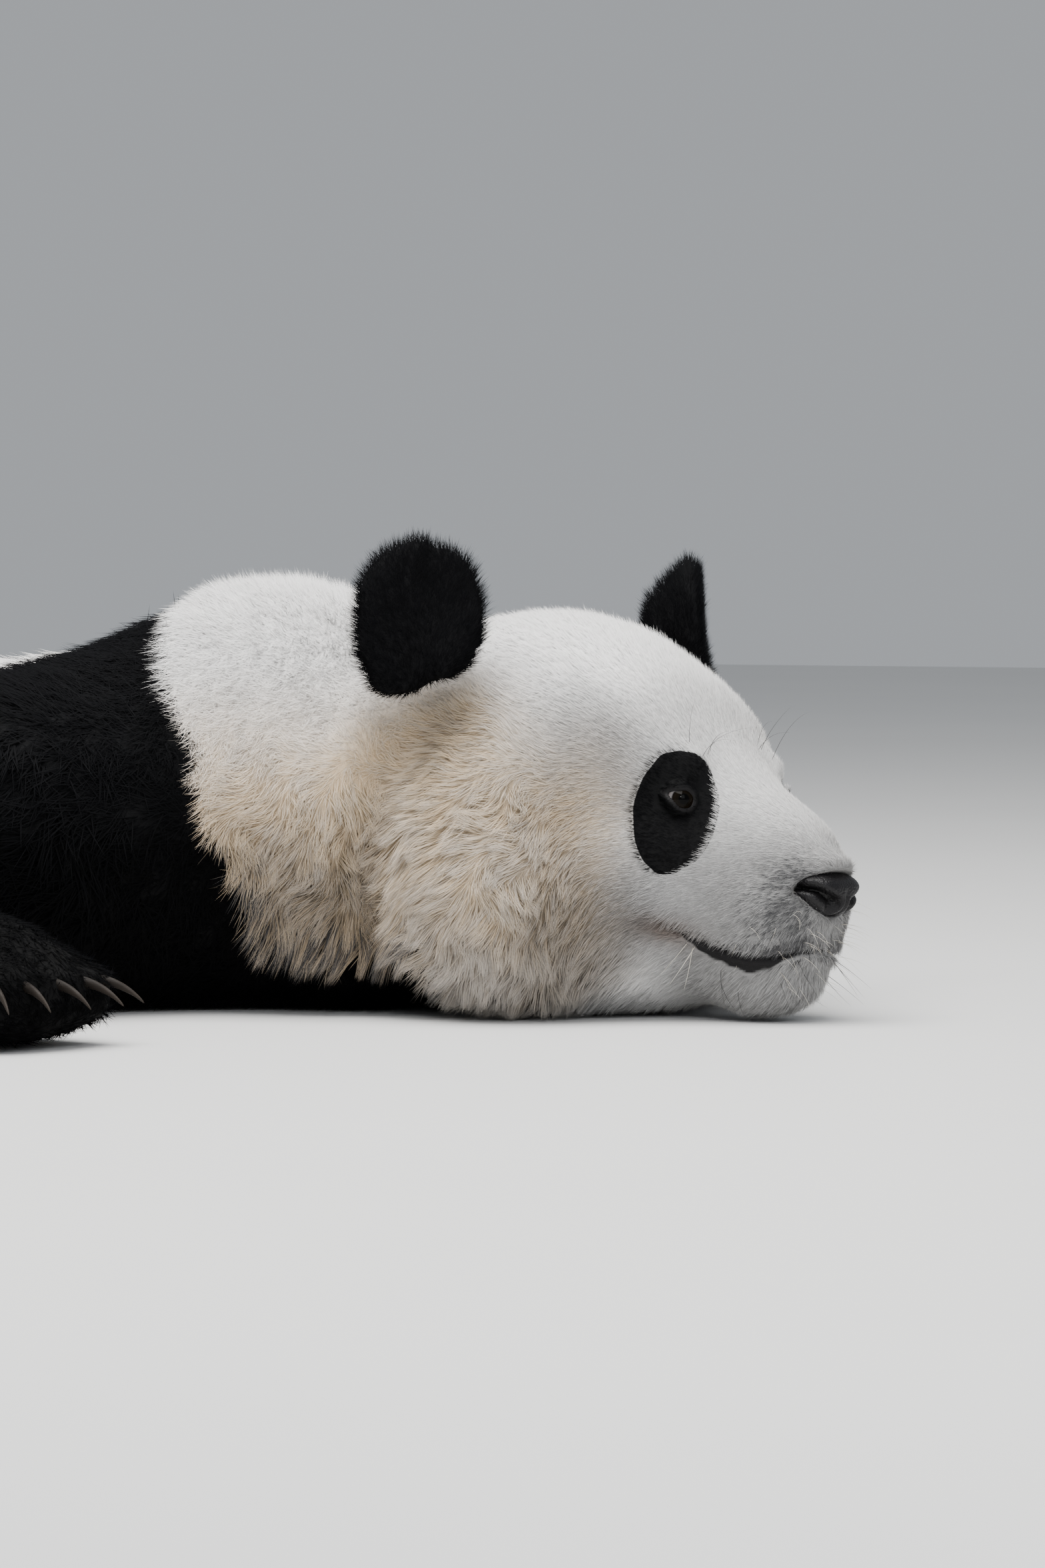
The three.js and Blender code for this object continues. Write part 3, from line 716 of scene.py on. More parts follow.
TUFT_FACES = np.array([(0, 2, 1), (0, 1, 3), (1, 2, 3), (2, 0, 3)])  # three corners at the root, then the tip
TUFT_ALONG = np.array([0.0, 0.0, 0.0, 1.0])
TUFT_ACROSS = np.array([0.0, 1.0, 0.5, 0.0])
TUFT_PATCH = 0.003  # of the map's side
LENGTHS = (0.72, 1.22)  # of the shortest and the longest tuft, in lengths of the coat at that place
WIDTHS = (0.75, 1.25)
LIFTS = (0.10, 1.60)
LOCK_REACH = 0.55  # how far a tip may be drawn to its lock's, in tuft lengths
LOCK_TONE = 0.35  # how much of its lock's tone each tuft takes
EDGE_MIXING = 0.22  # how far black and white hairs stand among each other where the markings meet
SOFTNESS = (0.78, 0.74)  # of the black coat's shading and of the white's
MOST_TRIANGLES = 195000


def scattered_roots(surface, fields, kinds, random):
    """Roots scattered over the skin, with everything a tuft needs at its root."""
    corners = triangles_of(surface.mesh)
    loops = triangles_of(surface.mesh, "loops")
    uv = values_of(surface.mesh.uv_layers["OFBake"].uv, "vector", 2)[loops]
    a, b, c = (surface.points[corners[:, i]] for i in range(3))
    area = np.linalg.norm(np.cross(b - a, c - a), axis=1) / 2
    per_metre = fields["density"][corners].mean(1) * 1e4 * COAT_SHARE
    number = random.poisson(area * per_metre)
    owner = np.repeat(np.arange(len(number)), number)
    u, v = random.random((2, len(owner)))
    flip = u + v > 1
    u[flip], v[flip] = 1 - u[flip], 1 - v[flip]
    share = np.stack([1 - u - v, u, v], 1)
    corners = corners[owner]

    def at_root(picked):
        weights = share[:, :, None] if picked.ndim == 3 else share
        return (picked * weights).sum(1)

    roots = {key: at_root(value[corners]) for key, value in fields.items()}
    roots["place"] = at_root(surface.points[corners])
    roots["uv"] = at_root(uv[owner])
    roots["kind"] = kinds[corners[:, 0]]
    normal = roots["normal"] = unit(roots["normal"])
    roots["lie"] = unit(roots["lie"] - normal * (roots["lie"] * normal).sum(1, keepdims=True))
    return roots


def lock_leaders(roots, random):
    """The number of the tuft that leads the lock each tuft belongs to."""
    count = len(roots["place"])
    share = np.clip(100 / (roots["lock"] ** 2 * roots["density"] * COAT_SHARE), 0.002, 1)
    leaders = np.flatnonzero(random.random(count) < share)
    if len(leaders) == 0:
        return np.arange(count)
    tree = KDTree(len(leaders))
    for number, leader in enumerate(leaders):
        tree.insert(Vector(roots["place"][leader]), number)
    tree.balance()
    return leaders[np.array([tree.find(Vector(p))[1] for p in roots["place"]], int)]


def lock_pull(roots, leaders, tips):
    """How far each tuft's tip is from the tip of its lock, up to a share of its length."""
    pull = tips[leaders] - tips
    far = np.linalg.norm(pull, axis=1, keepdims=True)
    limit = (roots["length"] * MM * LOCK_REACH)[:, None]
    return pull * np.minimum(1, limit / np.maximum(far, 1e-9)) * roots["gather"][:, None]


def tuft_points(roots, leaders, random):
    """The four points of every tuft."""
    count = len(roots["place"])
    length = roots["length"] * MM * random.uniform(*LENGTHS, count)
    width = roots["width"] * MM * random.uniform(*WIDTHS, count)
    lift = np.clip(roots["lift"] * random.normal(1.0, 0.25, count), *LIFTS)
    wander = 1.5 * unevenness(roots["place"], 9) + random.normal(0, 0.25, count)
    swing = random.normal(0, 1, count) * roots["ruffle"] + roots["curl"] * wander
    normal = roots["normal"]
    side = np.cross(normal, roots["lie"])
    lie = roots["lie"] * np.cos(swing)[:, None] + side * np.sin(swing)[:, None]
    side = np.cross(normal, lie)
    start = roots["place"] - normal * (ROOT_DEPTH * MM)
    forward, rise = length * (1 - lift ** 2 / 4), length * lift * 0.58
    tip = start + lie * forward[:, None] + normal * rise[:, None]
    tip = tip + lock_pull(roots, leaders, tip)
    phase = random.uniform(0, 2 * math.pi, count)
    wave = roots["curl"] * length * 0.10
    tip = tip + side * (wave * np.sin(phase + 5.5))[:, None]
    tip = tip + normal * (wave * 0.6 * np.cos(phase * 1.7 + 5.0))[:, None]
    along = unit(tip - start)
    across = unit(np.cross(normal, along))
    above = np.cross(along, across)
    points = np.empty((count, 4, 3))
    for corner, angle in enumerate((math.pi / 2, math.pi * 7 / 6, math.pi * 11 / 6)):
        spread = across * math.cos(angle) + above * (math.sin(angle) * 0.55)
        points[:, corner] = start + spread * (width / 2)[:, None]
    points[:, 3] = tip
    points[:, :, 2] = np.maximum(points[:, :, 2], HAIR_OFF_FLOOR * MM)
    return points


def soften_shading(mesh, roots):
    """Turns each tuft's normals towards the skin's, so that the coat shades as one soft mass."""
    own = values_of(mesh.vertex_normals, "vector", 3)
    skin = np.repeat(roots["normal"], 4, axis=0)
    share = np.repeat(np.where(roots["black"] > 0.5, *SOFTNESS), 4)[:, None]
    mesh.normals_split_custom_set_from_vertices(unit(own * (1 - share) + skin * share))


def coat_piece(name, roots, random):
    """One mesh of many tufts, with its colours' causes at every point and its own map."""
    leaders = lock_leaders(roots, random)
    points = tuft_points(roots, leaders, random)
    count = len(points)
    corners = (np.arange(count)[:, None, None] * 4 + TUFT_FACES).ravel()
    mesh = bpy.data.meshes.new(name)
    mesh.vertices.add(count * 4)
    mesh.vertices.foreach_set("co", points.astype(np.float32).ravel())
    mesh.loops.add(len(corners))
    mesh.loops.foreach_set("vertex_index", corners.astype(np.int32))
    mesh.polygons.add(len(corners) // 3)
    mesh.polygons.foreach_set("loop_start", np.arange(0, len(corners), 3, dtype=np.int32))
    mesh.update(calc_edges=True)
    mesh.shade_smooth()
    soften_shading(mesh, roots)
    tone = random.random(count)
    tone = tone + (tone[leaders] - tone) * LOCK_TONE
    causes = {key: roots[key] for key in ("black", "warm", "grey", "dull", "rust")}
    for key, values in {**causes, "tone": tone}.items():
        add_point_values(mesh, key, np.repeat(values, 4))
    add_point_values(mesh, "along", np.tile(TUFT_ALONG, count))
    local = np.stack([TUFT_ACROSS, TUFT_ALONG], 1) - 0.5
    uv = roots["uv"][:, None, :] * (1 - TUFT_PATCH) + TUFT_PATCH / 2 + local * TUFT_PATCH
    layer = mesh.uv_layers.new(name="OFBake")
    layer.uv.foreach_set("vector", uv.reshape(-1, 2)[corners].astype(np.float32).ravel())
    return linked(name, mesh)


# ---------- finishes ----------

class Nodes:
    """Short ways to add and join shader nodes in one tree."""

    def __init__(self, tree):
        self.tree = tree
        tree.nodes.clear()

    def fill(self, sockets, values):
        """Sets each input to a value or a tint, or joins it to another node's output."""
        for key, value in values.items():
            if isinstance(value, bpy.types.NodeSocket):
                self.tree.links.new(value, sockets[key])
            else:
                sockets[key].default_value = (*value, 1.0) if sockets[key].type == "RGBA" else value

    def add(self, kind, inputs=None, **settings):
        node = self.tree.nodes.new(kind)
        for key, value in settings.items():
            setattr(node, key, value)
        self.fill(node.inputs, inputs or {})
        return node

    def plus(self, value, factor, shift, clamp=False):
        """The value times a factor, and a shift added."""
        inputs = {0: value, 1: factor, 2: shift}
        return self.add("ShaderNodeMath", inputs, operation="MULTIPLY_ADD", use_clamp=clamp).outputs[0]

    def times(self, a, b, clamp=False):
        return self.plus(a, b, 0.0, clamp)

    def mix(self, share, first, second, blend="MIX"):
        """Two tints mixed, by the node's own sockets for colours."""
        inputs = {0: share, 6: first, 7: second}
        return self.add("ShaderNodeMix", inputs, data_type="RGBA", blend_type=blend).outputs[2]

    def point_value(self, name):
        return self.add("ShaderNodeAttribute", attribute_name=name).outputs["Fac"]

    def place(self):
        return self.add("ShaderNodeTexCoord").outputs["Object"]

    def noise(self, scale, detail=2.0, stretch=None):
        place = self.place()
        if stretch:
            place = self.add("ShaderNodeMapping", {"Vector": place, "Scale": stretch}).outputs[0]
        settings = {"Vector": place, "Scale": scale, "Detail": detail}
        return self.add("ShaderNodeTexNoise", settings).outputs["Fac"]

    def raised(self, height, strength, distance):
        settings = {"Height": height, "Strength": strength, "Distance": distance}
        return self.add("ShaderNodeBump", settings).outputs[0]


# Along darkens each hair towards its root as painted shade; the dullness value is partly the hair's cool grey
# and partly painted shade
CAUSES = ("Black", "Warm", "Grey", "Dull", "Rust", "Tone", "Along")
COAT_TINTS = {
    "White hair": (0.86, 0.85, 0.84),
    "Cream hair": (0.76, 0.58, 0.38),
    "Grey hair": (0.10, 0.10, 0.112),
    "Rust hair": (0.15, 0.075, 0.04),
    "Black hair": (0.0036, 0.0037, 0.0043),
}


def coat_colour_group():
    """Colour of a hair or of the skin under it, from the causes kept at its points, with painted shade deep
    in the coat towards each root.
    """
    group = bpy.data.node_groups.new("coat_colour", "ShaderNodeTree")
    nodes = Nodes(group)
    for name in CAUSES:
        group.interface.new_socket(name, in_out="INPUT", socket_type="NodeSocketFloat")
    for name in COAT_TINTS:
        group.interface.new_socket(name, in_out="INPUT", socket_type="NodeSocketColor")
    group.interface.new_socket("Color", in_out="OUTPUT", socket_type="NodeSocketColor")
    given = nodes.add("NodeGroupInput").outputs
    tone, along, dull = given["Tone"], given["Along"], given["Dull"]
    varied = nodes.times(given["Warm"], nodes.plus(tone, 0.7, 0.6))
    varied = nodes.times(varied, nodes.plus(along, -0.55, 1.25), True)
    pale = nodes.mix(varied, given["White hair"], given["Cream hair"])
    grey = nodes.plus(nodes.plus(tone, -1.0, given["Grey"]), 5.0, 0.25, True)
    grey = nodes.times(grey, nodes.times(given["Grey"], 2.5, True))
    pale = nodes.mix(nodes.times(grey, 0.9), pale, given["Grey hair"])
    pale = nodes.mix(given["Rust"], pale, given["Rust hair"])
    marked = nodes.plus(given["Black"], 7.0, -3.0, True)
    both = nodes.mix(marked, pale, given["Black hair"])
    mottle = nodes.plus(nodes.noise(700.0), 0.24, 0.88)
    # painted shade: each hair darker towards its root, more so where the dullness is high, for the shade deep
    # inside the coat
    shadowed = nodes.times(nodes.plus(along, -1.0, 1.0), nodes.plus(dull, 0.40, 0.19))
    depth = nodes.plus(shadowed, -1.0, 1.06)
    spread = nodes.plus(nodes.plus(tone, 1.0, -0.5), nodes.plus(dull, 0.42, 0.20), 1.0)
    # the dullness darkens the colour: partly the hair's own cool grey, partly painted shade
    shade = nodes.times(nodes.times(mottle, depth), nodes.times(spread, nodes.plus(dull, -0.38, 1.0)))
    grade = nodes.add("ShaderNodeCombineColor", {0: shade, 1: shade, 2: shade}).outputs[0]
    nodes.add("NodeGroupOutput", {"Color": nodes.mix(1.0, both, grade, "MULTIPLY")})
    return group


def new_material(name):
    material = bpy.data.materials.new(name)
    material.use_nodes = True
    nodes = Nodes(material.node_tree)
    shader = nodes.add("ShaderNodeBsdfPrincipled")
    nodes.add("ShaderNodeOutputMaterial", {"Surface": shader.outputs[0]})
    return material, nodes, shader.inputs


def coat_tint(nodes, group):
    causes = {key: nodes.point_value(key.lower()) for key in CAUSES}
    return nodes.add("ShaderNodeGroup", {**causes, **COAT_TINTS}, node_tree=group).outputs["Color"]


def coat_material(name, group, roughness, gloss, sheen, sheen_tint):
    material, nodes, into = new_material(name)
    nodes.fill(into, {
        "Base Color": coat_tint(nodes, group),
        "Roughness": nodes.plus(nodes.point_value("tone"), 0.12, roughness),
        "Specular IOR Level": gloss,
        "Sheen Weight": sheen, "Sheen Roughness": 0.45, "Sheen Tint": sheen_tint,
    })
    return material


def skin_material(group):
    """The skin under the coat: the coat's own markings and painted shade, and dark bare skin on lips and
    lids.
    """
    material, nodes, into = new_material("skin")
    bare = nodes.point_value("bare")
    nodes.fill(into, {
        "Base Color": nodes.mix(bare, coat_tint(nodes, group), (0.006, 0.0055, 0.006)),
        "Roughness": nodes.plus(bare, -0.30, 0.85),
        "Specular IOR Level": 0.14,
        "Normal": nodes.raised(nodes.noise(900.0, 3.0), 0.5, 0.0006),
    })
    return material


def nose_material():
    """Black pebbled leather, with painted shade making it darker in the nostrils."""
    material, nodes, into = new_material("nose_leather")
    pebbles = nodes.add("ShaderNodeTexVoronoi", {"Vector": nodes.place(), "Scale": 620.0}).outputs["Distance"]
    tint = nodes.mix(nodes.noise(160.0), (0.0035, 0.0033, 0.004), (0.010, 0.009, 0.010))
    nodes.fill(into, {
        # the hollows of the nostrils get a darker tint: painted shade
        "Base Color": nodes.mix(nodes.point_value("hollow"), tint, (0.0015, 0.0013, 0.0014)),
        "Roughness": nodes.plus(nodes.noise(90.0), 0.30, 0.28),
        "Specular IOR Level": 0.19, "Coat Weight": 0.04, "Coat Roughness": 0.25,
        "Normal": nodes.raised(nodes.times(pebbles, -1.0), 0.6, 0.0008),
    })
    return material


def eye_material():
    """Black pupil, dark brown iris, darker rim and a greyed white, by distance from the pupil."""
    material, nodes, into = new_material("eye")
    ramp = nodes.add("ShaderNodeValToRGB", {"Fac": nodes.point_value("look")})
    stops = [
        (0.00, (0.001, 0.001, 0.001)), (0.24, (0.001, 0.001, 0.001)), (0.28, (0.004, 0.003, 0.002)),
        (0.50, (0.007, 0.005, 0.003)), (0.58, (0.003, 0.002, 0.002)), (0.66, (0.14, 0.13, 0.13)),
        (1.00, (0.08, 0.06, 0.055)),
    ]
    points = ramp.color_ramp.elements
    for number, (place, tint) in enumerate(stops):
        point = points[number] if number < len(points) else points.new(place)
        point.position, point.color = place, (*tint, 1.0)
    streak = nodes.mix(nodes.noise(1400.0), (0.7, 0.7, 0.7), (1, 1, 1))
    nodes.fill(into, {
        "Base Color": nodes.mix(1.0, ramp.outputs["Color"], streak, "MULTIPLY"),
        "Roughness": 0.30, "Specular IOR Level": 0.0, "Coat Weight": 0.12, "Coat Roughness": 0.03,
    })
    return material


def claw_material():
    """Dark horn, paler towards the point, with streaks along it."""
    material, nodes, into = new_material("claw")
    horn = nodes.mix(nodes.point_value("along"), (0.010, 0.008, 0.007), (0.034, 0.027, 0.022))
    streaks = nodes.noise(260.0, 4.0, (0.25, 1.0, 1.0))
    nodes.fill(into, {
        "Base Color": nodes.mix(nodes.times(streaks, 0.6), horn, (0.008, 0.007, 0.006)),
        "Roughness": nodes.plus(streaks, 0.3, 0.40),
        "Specular IOR Level": 0.12,
        "Normal": nodes.raised(streaks, 0.3, 0.0004),
    })
    return material


def plain_material(name, roughness, grain, detail, first, second):
    """Two tints, mixed by a noise of this grain."""
    material, nodes, into = new_material(name)
    tint = nodes.mix(nodes.noise(grain, detail), first, second)
    nodes.fill(into, {"Base Color": tint, "Roughness": roughness})
    return material


def hair_material(name, tint, roughness):
    return plain_material(name, roughness, 300.0, 2.0, tint, tuple(v * 0.6 for v in tint))


# ---------- eyes, nose, claws and whiskers ----------

def lathe_faces(rings, around):
    """Faces of a closed round shape: a pole, rings of points, and a pole."""
    faces = [(0, 1 + (j + 1) % around, 1 + j) for j in range(around)]
    for i in range(rings - 1):
        a, b = 1 + i * around, 1 + (i + 1) * around
        faces += [(a + j, a + (j + 1) % around, b + (j + 1) % around, b + j) for j in range(around)]
    last, end = 1 + (rings - 1) * around, 1 + rings * around
    return faces + [(last + j, last + (j + 1) % around, end) for j in range(around)]


def ball_angles(rings, around):
    """The angle from the pole and the turn about it, for each point of a round shape."""
    for number, angle in enumerate(np.linspace(0, math.pi, rings + 2)):
        count = 1 if number in (0, rings + 1) else around
        for turn in np.arange(count) / around * 2 * math.pi:
            yield angle, turn


def finished(made, material, slot, *replaced):
    made.data.materials.clear()
    made.data.materials.append(material)
    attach(made, "root")
    if replaced:
        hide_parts(*replaced)
    return made


def eyeball(label, side, material):
    """A ball with a domed cornea, its pole on the line of sight."""
    rings, around = 30, 40
    out, across, up = gaze_axes(side)
    places, looks = [], []
    for angle, turn in ball_angles(rings, around):
        radius = EYE["radius"] + EYE["cornea"] * max(0.0, 1 - (angle / 0.62) ** 2) ** 2
        slit = 1 + 0.25 * abs(math.cos(turn)) * step(0.30 - angle, 0, 0.15)
        sideways = across * math.cos(turn) + up * math.sin(turn)
        places.append((out * math.cos(angle) + sideways * math.sin(angle)) * radius)
        looks.append(min(angle / 1.15 * slit, 1.0))
    middle = np.array(EYE["place"]) * (1, side, 1)
    made = make_object(f"eyeball_{label}", from_head(middle + np.array(places)), lathe_faces(rings, around))
    made.data.shade_smooth()
    outward_faces(made.data)
    add_point_values(made.data, "look", np.array(looks))
    return finished(made, material, "eye", f"eye_{label}")


def nostril_depth(side, z):
    """How deep the nostril is at this distance out from the middle and this height."""
    a, b = np.array(NOSTRIL["outer"]), np.array(NOSTRIL["inner"])
    place = np.stack([side, z], 1)
    along = np.clip(((place - a) @ (b - a)) / ((b - a) @ (b - a)), 0, 1)
    apart = np.linalg.norm(place - (a + along[:, None] * (b - a)), axis=1)
    radius = NOSTRIL["outer_radius"] + (NOSTRIL["inner_radius"] - NOSTRIL["outer_radius"]) * along
    return step(-apart / radius, -1.15, -0.55)


def nose_piece(material):
    """The leather of the nose: blunt in front, narrower below, with slanting nostrils and a groove."""
    rings, around = 64, 96
    blunt = NOSE_SIZE["bluntness"]
    places = []
    for angle, turn in ball_angles(rings, around):
        ahead, out, high = math.cos(angle), math.sin(angle) * math.cos(turn), math.sin(angle) * math.sin(turn)
        wide = NOSE_SIZE["half_width"] * (1 - NOSE_SIZE["narrowing"] * max(-high, 0))
        tall = NOSE_SIZE["above"] if high > 0 else NOSE_SIZE["below"]
        parts = (ahead / NOSE_SIZE["deep"], out / wide, high / tall)
        reach = sum(abs(v) ** blunt for v in parts) ** (-1 / blunt)
        places.append((LEATHER["forward"] + ahead * reach, out * reach, LEATHER["height"] + high * reach))
    made = make_object("nose_leather", from_head(places), lathe_faces(rings, around))
    outward_faces(made.data)
    surface = Surface(made.data)
    x, side, z = on_head(surface.points)
    depth = nostril_depth(side, z) * (x > LEATHER["forward"] + 2)
    groove = 1.4 * bump(side, 0, 1.5) * step(94 - z, 0, 8) * (x > LEATHER["forward"])
    rim = 0.9 * step(depth, 0.0, 0.04) * (1 - depth)
    surface.push(NOSTRIL["depth"] * depth + groove - rim)
    surface.relax(2, 0.3)
    surface.write()
    made.data.shade_smooth()
    add_point_values(made.data, "hollow", depth)
    return finished(made, material, "nose_leather", "nose")


def claw_piece(foot, side, material):
    """The five claws of a paw, smoothed, and shaded from root to point."""
    nodes = [f"{foot}_claw_{side}_{n}" for n in range(1, 6)]
    paw = middle_of(f"{foot}_paw_{side}")
    parts, along = [], []
    for node in nodes:
        rough = make_object("rough", *node_surface(node))
        mesh = settled(rough, "SUBSURF", levels=2, render_levels=2)
        points = values_of(mesh.vertices, "co", 3)
        parts.append((points, triangles_of(mesh)))
        distance = np.linalg.norm(points - paw, axis=1)
        along.append((distance - distance.min()) / np.ptp(distance))
    made = make_object(f"claws_{foot}_{side}", *joined(parts))
    made.data.shade_smooth()
    add_point_values(made.data, "along", np.concatenate(along))
    return finished(made, material, "claw", *nodes)


def long_hair(root, way, bend, length, radius):
    """Points and faces of one tapering hair: eight rings of four, closed at both ends."""
    rings, around = 8, 4
    way = unit(way)
    across = unit(np.cross(way, (0.31, 0.17, 0.93)))
    above = np.cross(way, across)
    line = [root + length * (way * t + bend * t * t) for t in np.linspace(0, 1, rings + 1)]
    places = [line[0]]
    for i in range(rings):
        thick = radius * (1 - 0.85 * i / rings)
        for turn in 2 * math.pi * np.arange(around) / around:
            places.append(line[i] + (across * math.cos(turn) + above * math.sin(turn)) * thick)
    return np.array(places + [line[-1]]), lathe_faces(rings, around)


WHISKERS = {
    # kind of hair: places on the head, way, bend, length, radius, copies and spread
    "whiskers_dark": [
        ((146, 38, 188), (0.15, 0.35, 1.0), (0.10, 0.05, -0.10), 50, 0.22, 1, 4),
        ((152, 36, 182), (0.55, 0.10, 0.85), (0.35, -0.25, -0.45), 52, 0.20, 3, 5),
        ((176, 52, 30), (0.25, 0.30, -0.90), (0.30, 0.10, 0.25), 34, 0.24, 3, 9),
        ((222, 24, 34), (0.55, 0.20, -0.60), (0.15, 0.10, -0.20), 26, 0.22, 5, 9),
    ],
    "whiskers_pale": [
        ((168, 60, 52), (-0.12, 0.30, -0.95), (-0.10, 0.05, 0.10), 46, 0.28, 3, 5),
        ((222, 32, 66), (0.75, 0.55, -0.10), (-0.15, 0.10, -0.25), 22, 0.13, 6, 11),
        ((230, 14, 58), (0.95, 0.25, -0.05), (-0.10, 0.05, -0.35), 26, 0.15, 8, 8),
        ((216, 22, 36), (0.85, 0.35, -0.35), (0.05, 0.05, -0.40), 22, 0.13, 7, 10),
        ((206, 44, 62), (0.45, 0.80, -0.25), (-0.25, 0.10, -0.20), 18, 0.12, 3, 10),
    ],
}


def whisker_piece(name, tree, slot, material):
    random = np.random.default_rng(77 + len(name))
    parts = []

    def varied(way, amount, side):
        return (np.array(way) + random.normal(0, amount, 3)) * (1, side, 1)

    for place, way, bend, length, radius, copies, spread in WHISKERS[name]:
        for side in [side for side in SIDES.values() for _ in range(copies)]:
            root = np.array(tree.find_nearest(Vector(from_head(varied(place, spread, side))))[0])
            turned = varied(way, 0.14, side) @ HEAD_AXES
            bent = varied(bend, 0.06, side) @ HEAD_AXES
            size = length * random.uniform(0.7, 1.15) * MM
            points, faces = long_hair(root, turned, bent, size, radius * MM)
            points[:, 2] = np.maximum(points[:, 2], MM)
            parts.append((points, faces))
    made = make_object(name, *joined(parts))
    outward_faces(made.data)
    made.data.shade_smooth()
    return finished(made, material, slot)


# ---------- skin and coat pieces ----------

REGIONS = {
    # piece: parts of the body, black or white or either, and the shortest and longest tufts
    "coat_muzzle": (HEAD_PARTS, False, 0, 7.9),
    "coat_brow": (HEAD_PARTS, False, 7.9, 10),
    "coat_crown": (HEAD_PARTS, False, 10, 13.5),
    "coat_cheeks": (HEAD_PARTS, False, 13.5, 99),
    "coat_eye_patches": (HEAD_PARTS, True, 0, 99),
    "coat_ears": (("ear",), None, 0, 99),
    "coat_neck": (("neck",), False, 0, 99),
    "coat_band": (("neck", "shoulders", "trunk", "rump"), True, 0, 99),
    "coat_forelegs": (("upper_arm", "forearm"), True, 0, 99),
    "coat_paws": (("front_paw", "hind_paw"), None, 0, 99),
    "coat_hind_legs": (("thigh", "shin"), True, 0, 99),
    "coat_back": (("shoulders", "trunk", "upper_arm", "forearm", "thigh", "shin"), False, 0, 99),
    "coat_rump": (("rump", "tail"), False, 0, 99),
}


def unwrap(made):
    """Lays the skin out flat in islands, by its own shape."""
    made.data.uv_layers.new(name="OFBake")
    bpy.context.view_layer.objects.active = made
    made.select_set(True)
    bpy.ops.object.mode_set(mode="EDIT")
    bpy.ops.mesh.select_all(action="SELECT")
    bpy.ops.uv.smart_project(angle_limit=math.radians(66), island_margin=0.003)
    bpy.ops.object.mode_set(mode="OBJECT")
    made.select_set(False)


def skin_piece(surface, fields, material, nodes):
    """The skin; it holds less grey than the hair over it, one middling tone, and the painted shade of a
    hair's root.
    """
    made = linked("skin", surface.mesh)
    unwrap(made)
    made.data.shade_smooth()
    values = {key: fields[key] for key in ("black", "warm", "dull", "rust", "bare")}
    # along 0.25 gives the skin the painted shade of a hair's root, darker under the coat
    middling = {"grey": fields["grey"] * 0.62, "tone": 0.5, "along": 0.25}
    for key, value in {**values, **middling}.items():
        add_point_values(made.data, key, np.broadcast_to(value, len(surface.points)))
    return finished(made, material, "white_fur", *nodes)


def coat_pieces(surface, fields, kinds, white, black):
    random = np.random.default_rng(5)
    roots = scattered_roots(surface, fields, kinds, random)
    mixing = EDGE_MIXING * 4 * roots["black"] * (1 - roots["black"])
    roots["black"] = np.clip(roots["black"] + random.normal(0, 1, len(mixing)) * mixing, 0, 1)
    for name, (body_parts, is_black, low, high) in REGIONS.items():
        keep = np.isin(roots["kind"], body_parts) & (roots["length"] >= low) & (roots["length"] < high)
        if is_black is not None:
            keep &= (roots["black"] > 0.5) == is_black
        keep = np.flatnonzero(keep)
        pieces = max(1, math.ceil(len(keep) * len(TUFT_FACES) / MOST_TRIANGLES))
        for number, own in enumerate(np.array_split(keep, pieces)):
            label = name if pieces == 1 else f"{name}_{number + 1}"
            chosen = {key: value[own] for key, value in roots.items()}
            finish = (white, "white_fur") if is_black is False else (black, "black_fur")
            finished(coat_piece(label, chosen, random), *finish)


# ---------- floor, light and camera ----------

LIGHTS = {
    # place, what it shines on, its size, watts and tint
    "overhead": ((0.3, -0.8, 3.0), (0.2, 0, 0.1), 2.8, 252, (1.0, 0.985, 0.96)),
    "front": ((2.6, -2.2, 1.6), (0.45, 0, 0.15), 2.0, 36, (0.96, 0.98, 1.0)),
    "sparkle": ((1.6, -2.6, 1.5), (0.45, 0, 0.15), 0.15, 14, (1.0, 1.0, 1.0)),
}
# The camera looks at the head from its right: turn and tip in degrees, the rest in metres
CAMERA = {"turn": 22, "tip": 2.5, "away": 4.5, "left": 0.0172, "above": 0.1563}


def add_floor():
    half = 9.0
    corners = [(-half, -half, 0), (half, -half, 0), (half, half, 0), (-half, half, 0)]
    floor = make_object("floor", corners, [(0, 1, 2, 3)])
    pale = plain_material("floor", 0.75, 1.5, 4.0, (0.66, 0.66, 0.655), (0.70, 0.70, 0.695))
    floor.data.materials.append(pale)


def facing(way):
    return Vector(way).to_track_quat("-Z", "Y").to_euler()


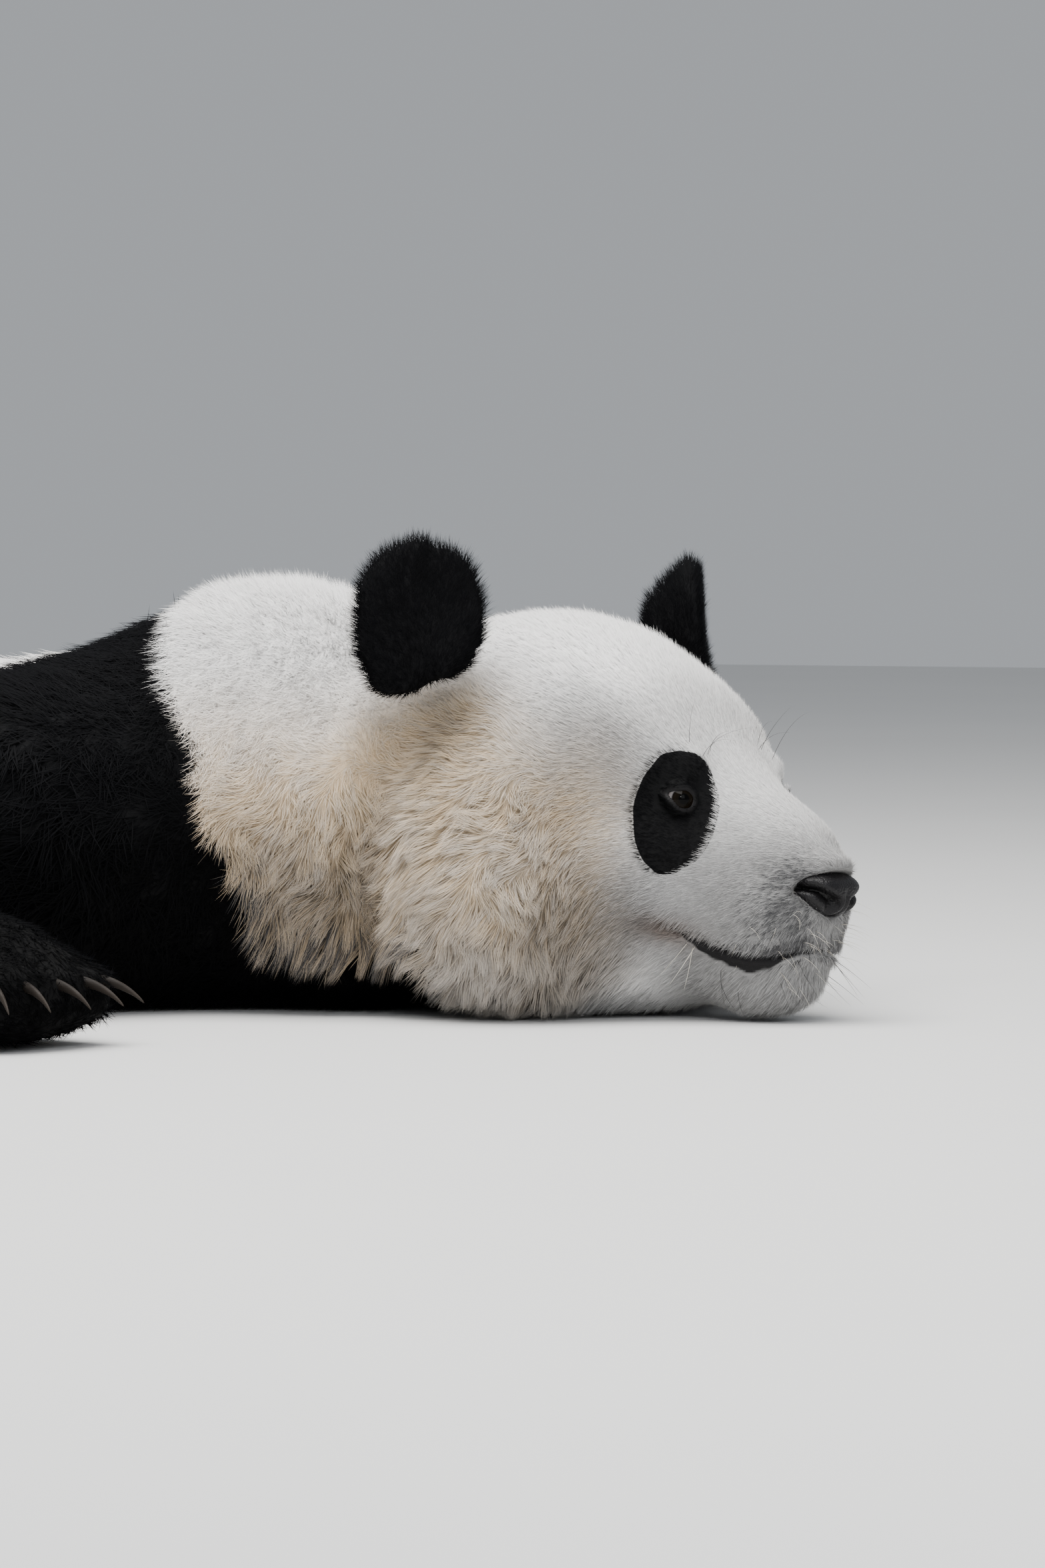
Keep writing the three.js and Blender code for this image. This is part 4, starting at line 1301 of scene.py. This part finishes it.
def add_lights():
    world = bpy.context.scene.world = bpy.data.worlds.new("studio")
    world.use_nodes = True
    background = world.node_tree.nodes["Background"].inputs
    background["Color"].default_value = (0.86, 0.90, 0.95, 1.0)
    background["Strength"].default_value = 0.46
    for name, (place, target, size, energy, tint) in LIGHTS.items():
        data = bpy.data.lights.new(name, "AREA")
        data.size, data.energy, data.color = size, energy, tint
        light = linked(name, data)
        light.location, light.rotation_euler = place, facing(Vector(target) - Vector(place))


def add_camera():
    turn, tip = math.radians(CAMERA["turn"]), math.radians(CAMERA["tip"])
    right = np.array([math.cos(turn), math.sin(turn), 0])
    ahead = np.array([-math.sin(turn) * math.cos(tip), math.cos(turn) * math.cos(tip), -math.sin(tip)])
    up = np.cross(right, ahead)
    data = bpy.data.cameras.new("camera")
    data.lens, data.sensor_width = 148.1, 36.0
    data.clip_start, data.clip_end = 0.1, 60.0
    camera = linked("camera", data)
    place = HEAD_ORIGIN * (1, 1, 0) - ahead * CAMERA["away"] - right * CAMERA["left"] + up * CAMERA["above"]
    camera.location, camera.rotation_euler = place, facing(ahead)
    bpy.context.scene.camera = camera


# ---------- the animal ----------

def build():
    nodes = sorted(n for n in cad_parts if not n.startswith(HARD))
    surface = skin_surface(nodes)
    kinds = nearest_kinds(surface.points, nodes)
    fields = coat_fields(surface, kinds)
    group = coat_colour_group()
    skin = skin_piece(surface, fields, skin_material(group), nodes)
    tree = BVHTree.FromObject(skin, bpy.context.evaluated_depsgraph_get())
    white = coat_material("white_coat", group, 0.60, 0.30, 0.30, (1.0, 0.97, 0.92))
    black = coat_material("black_coat", group, 0.66, 0.04, 0.003, (0.62, 0.72, 0.95))
    coat_pieces(surface, fields, kinds, white, black)
    eye, claw = eye_material(), claw_material()
    for label, side in SIDES.items():
        eyeball(label, side, eye)
        for foot in ("front", "hind"):
            claw_piece(foot, label, claw)
    nose_piece(nose_material())
    dark = hair_material("dark_whisker", (0.02, 0.018, 0.018), 0.4)
    pale = hair_material("pale_whisker", (0.75, 0.70, 0.60), 0.45)
    whisker_piece("whiskers_dark", tree, "black_fur", dark)
    whisker_piece("whiskers_pale", tree, "white_fur", pale)


build()
add_floor()
add_lights()
add_camera()
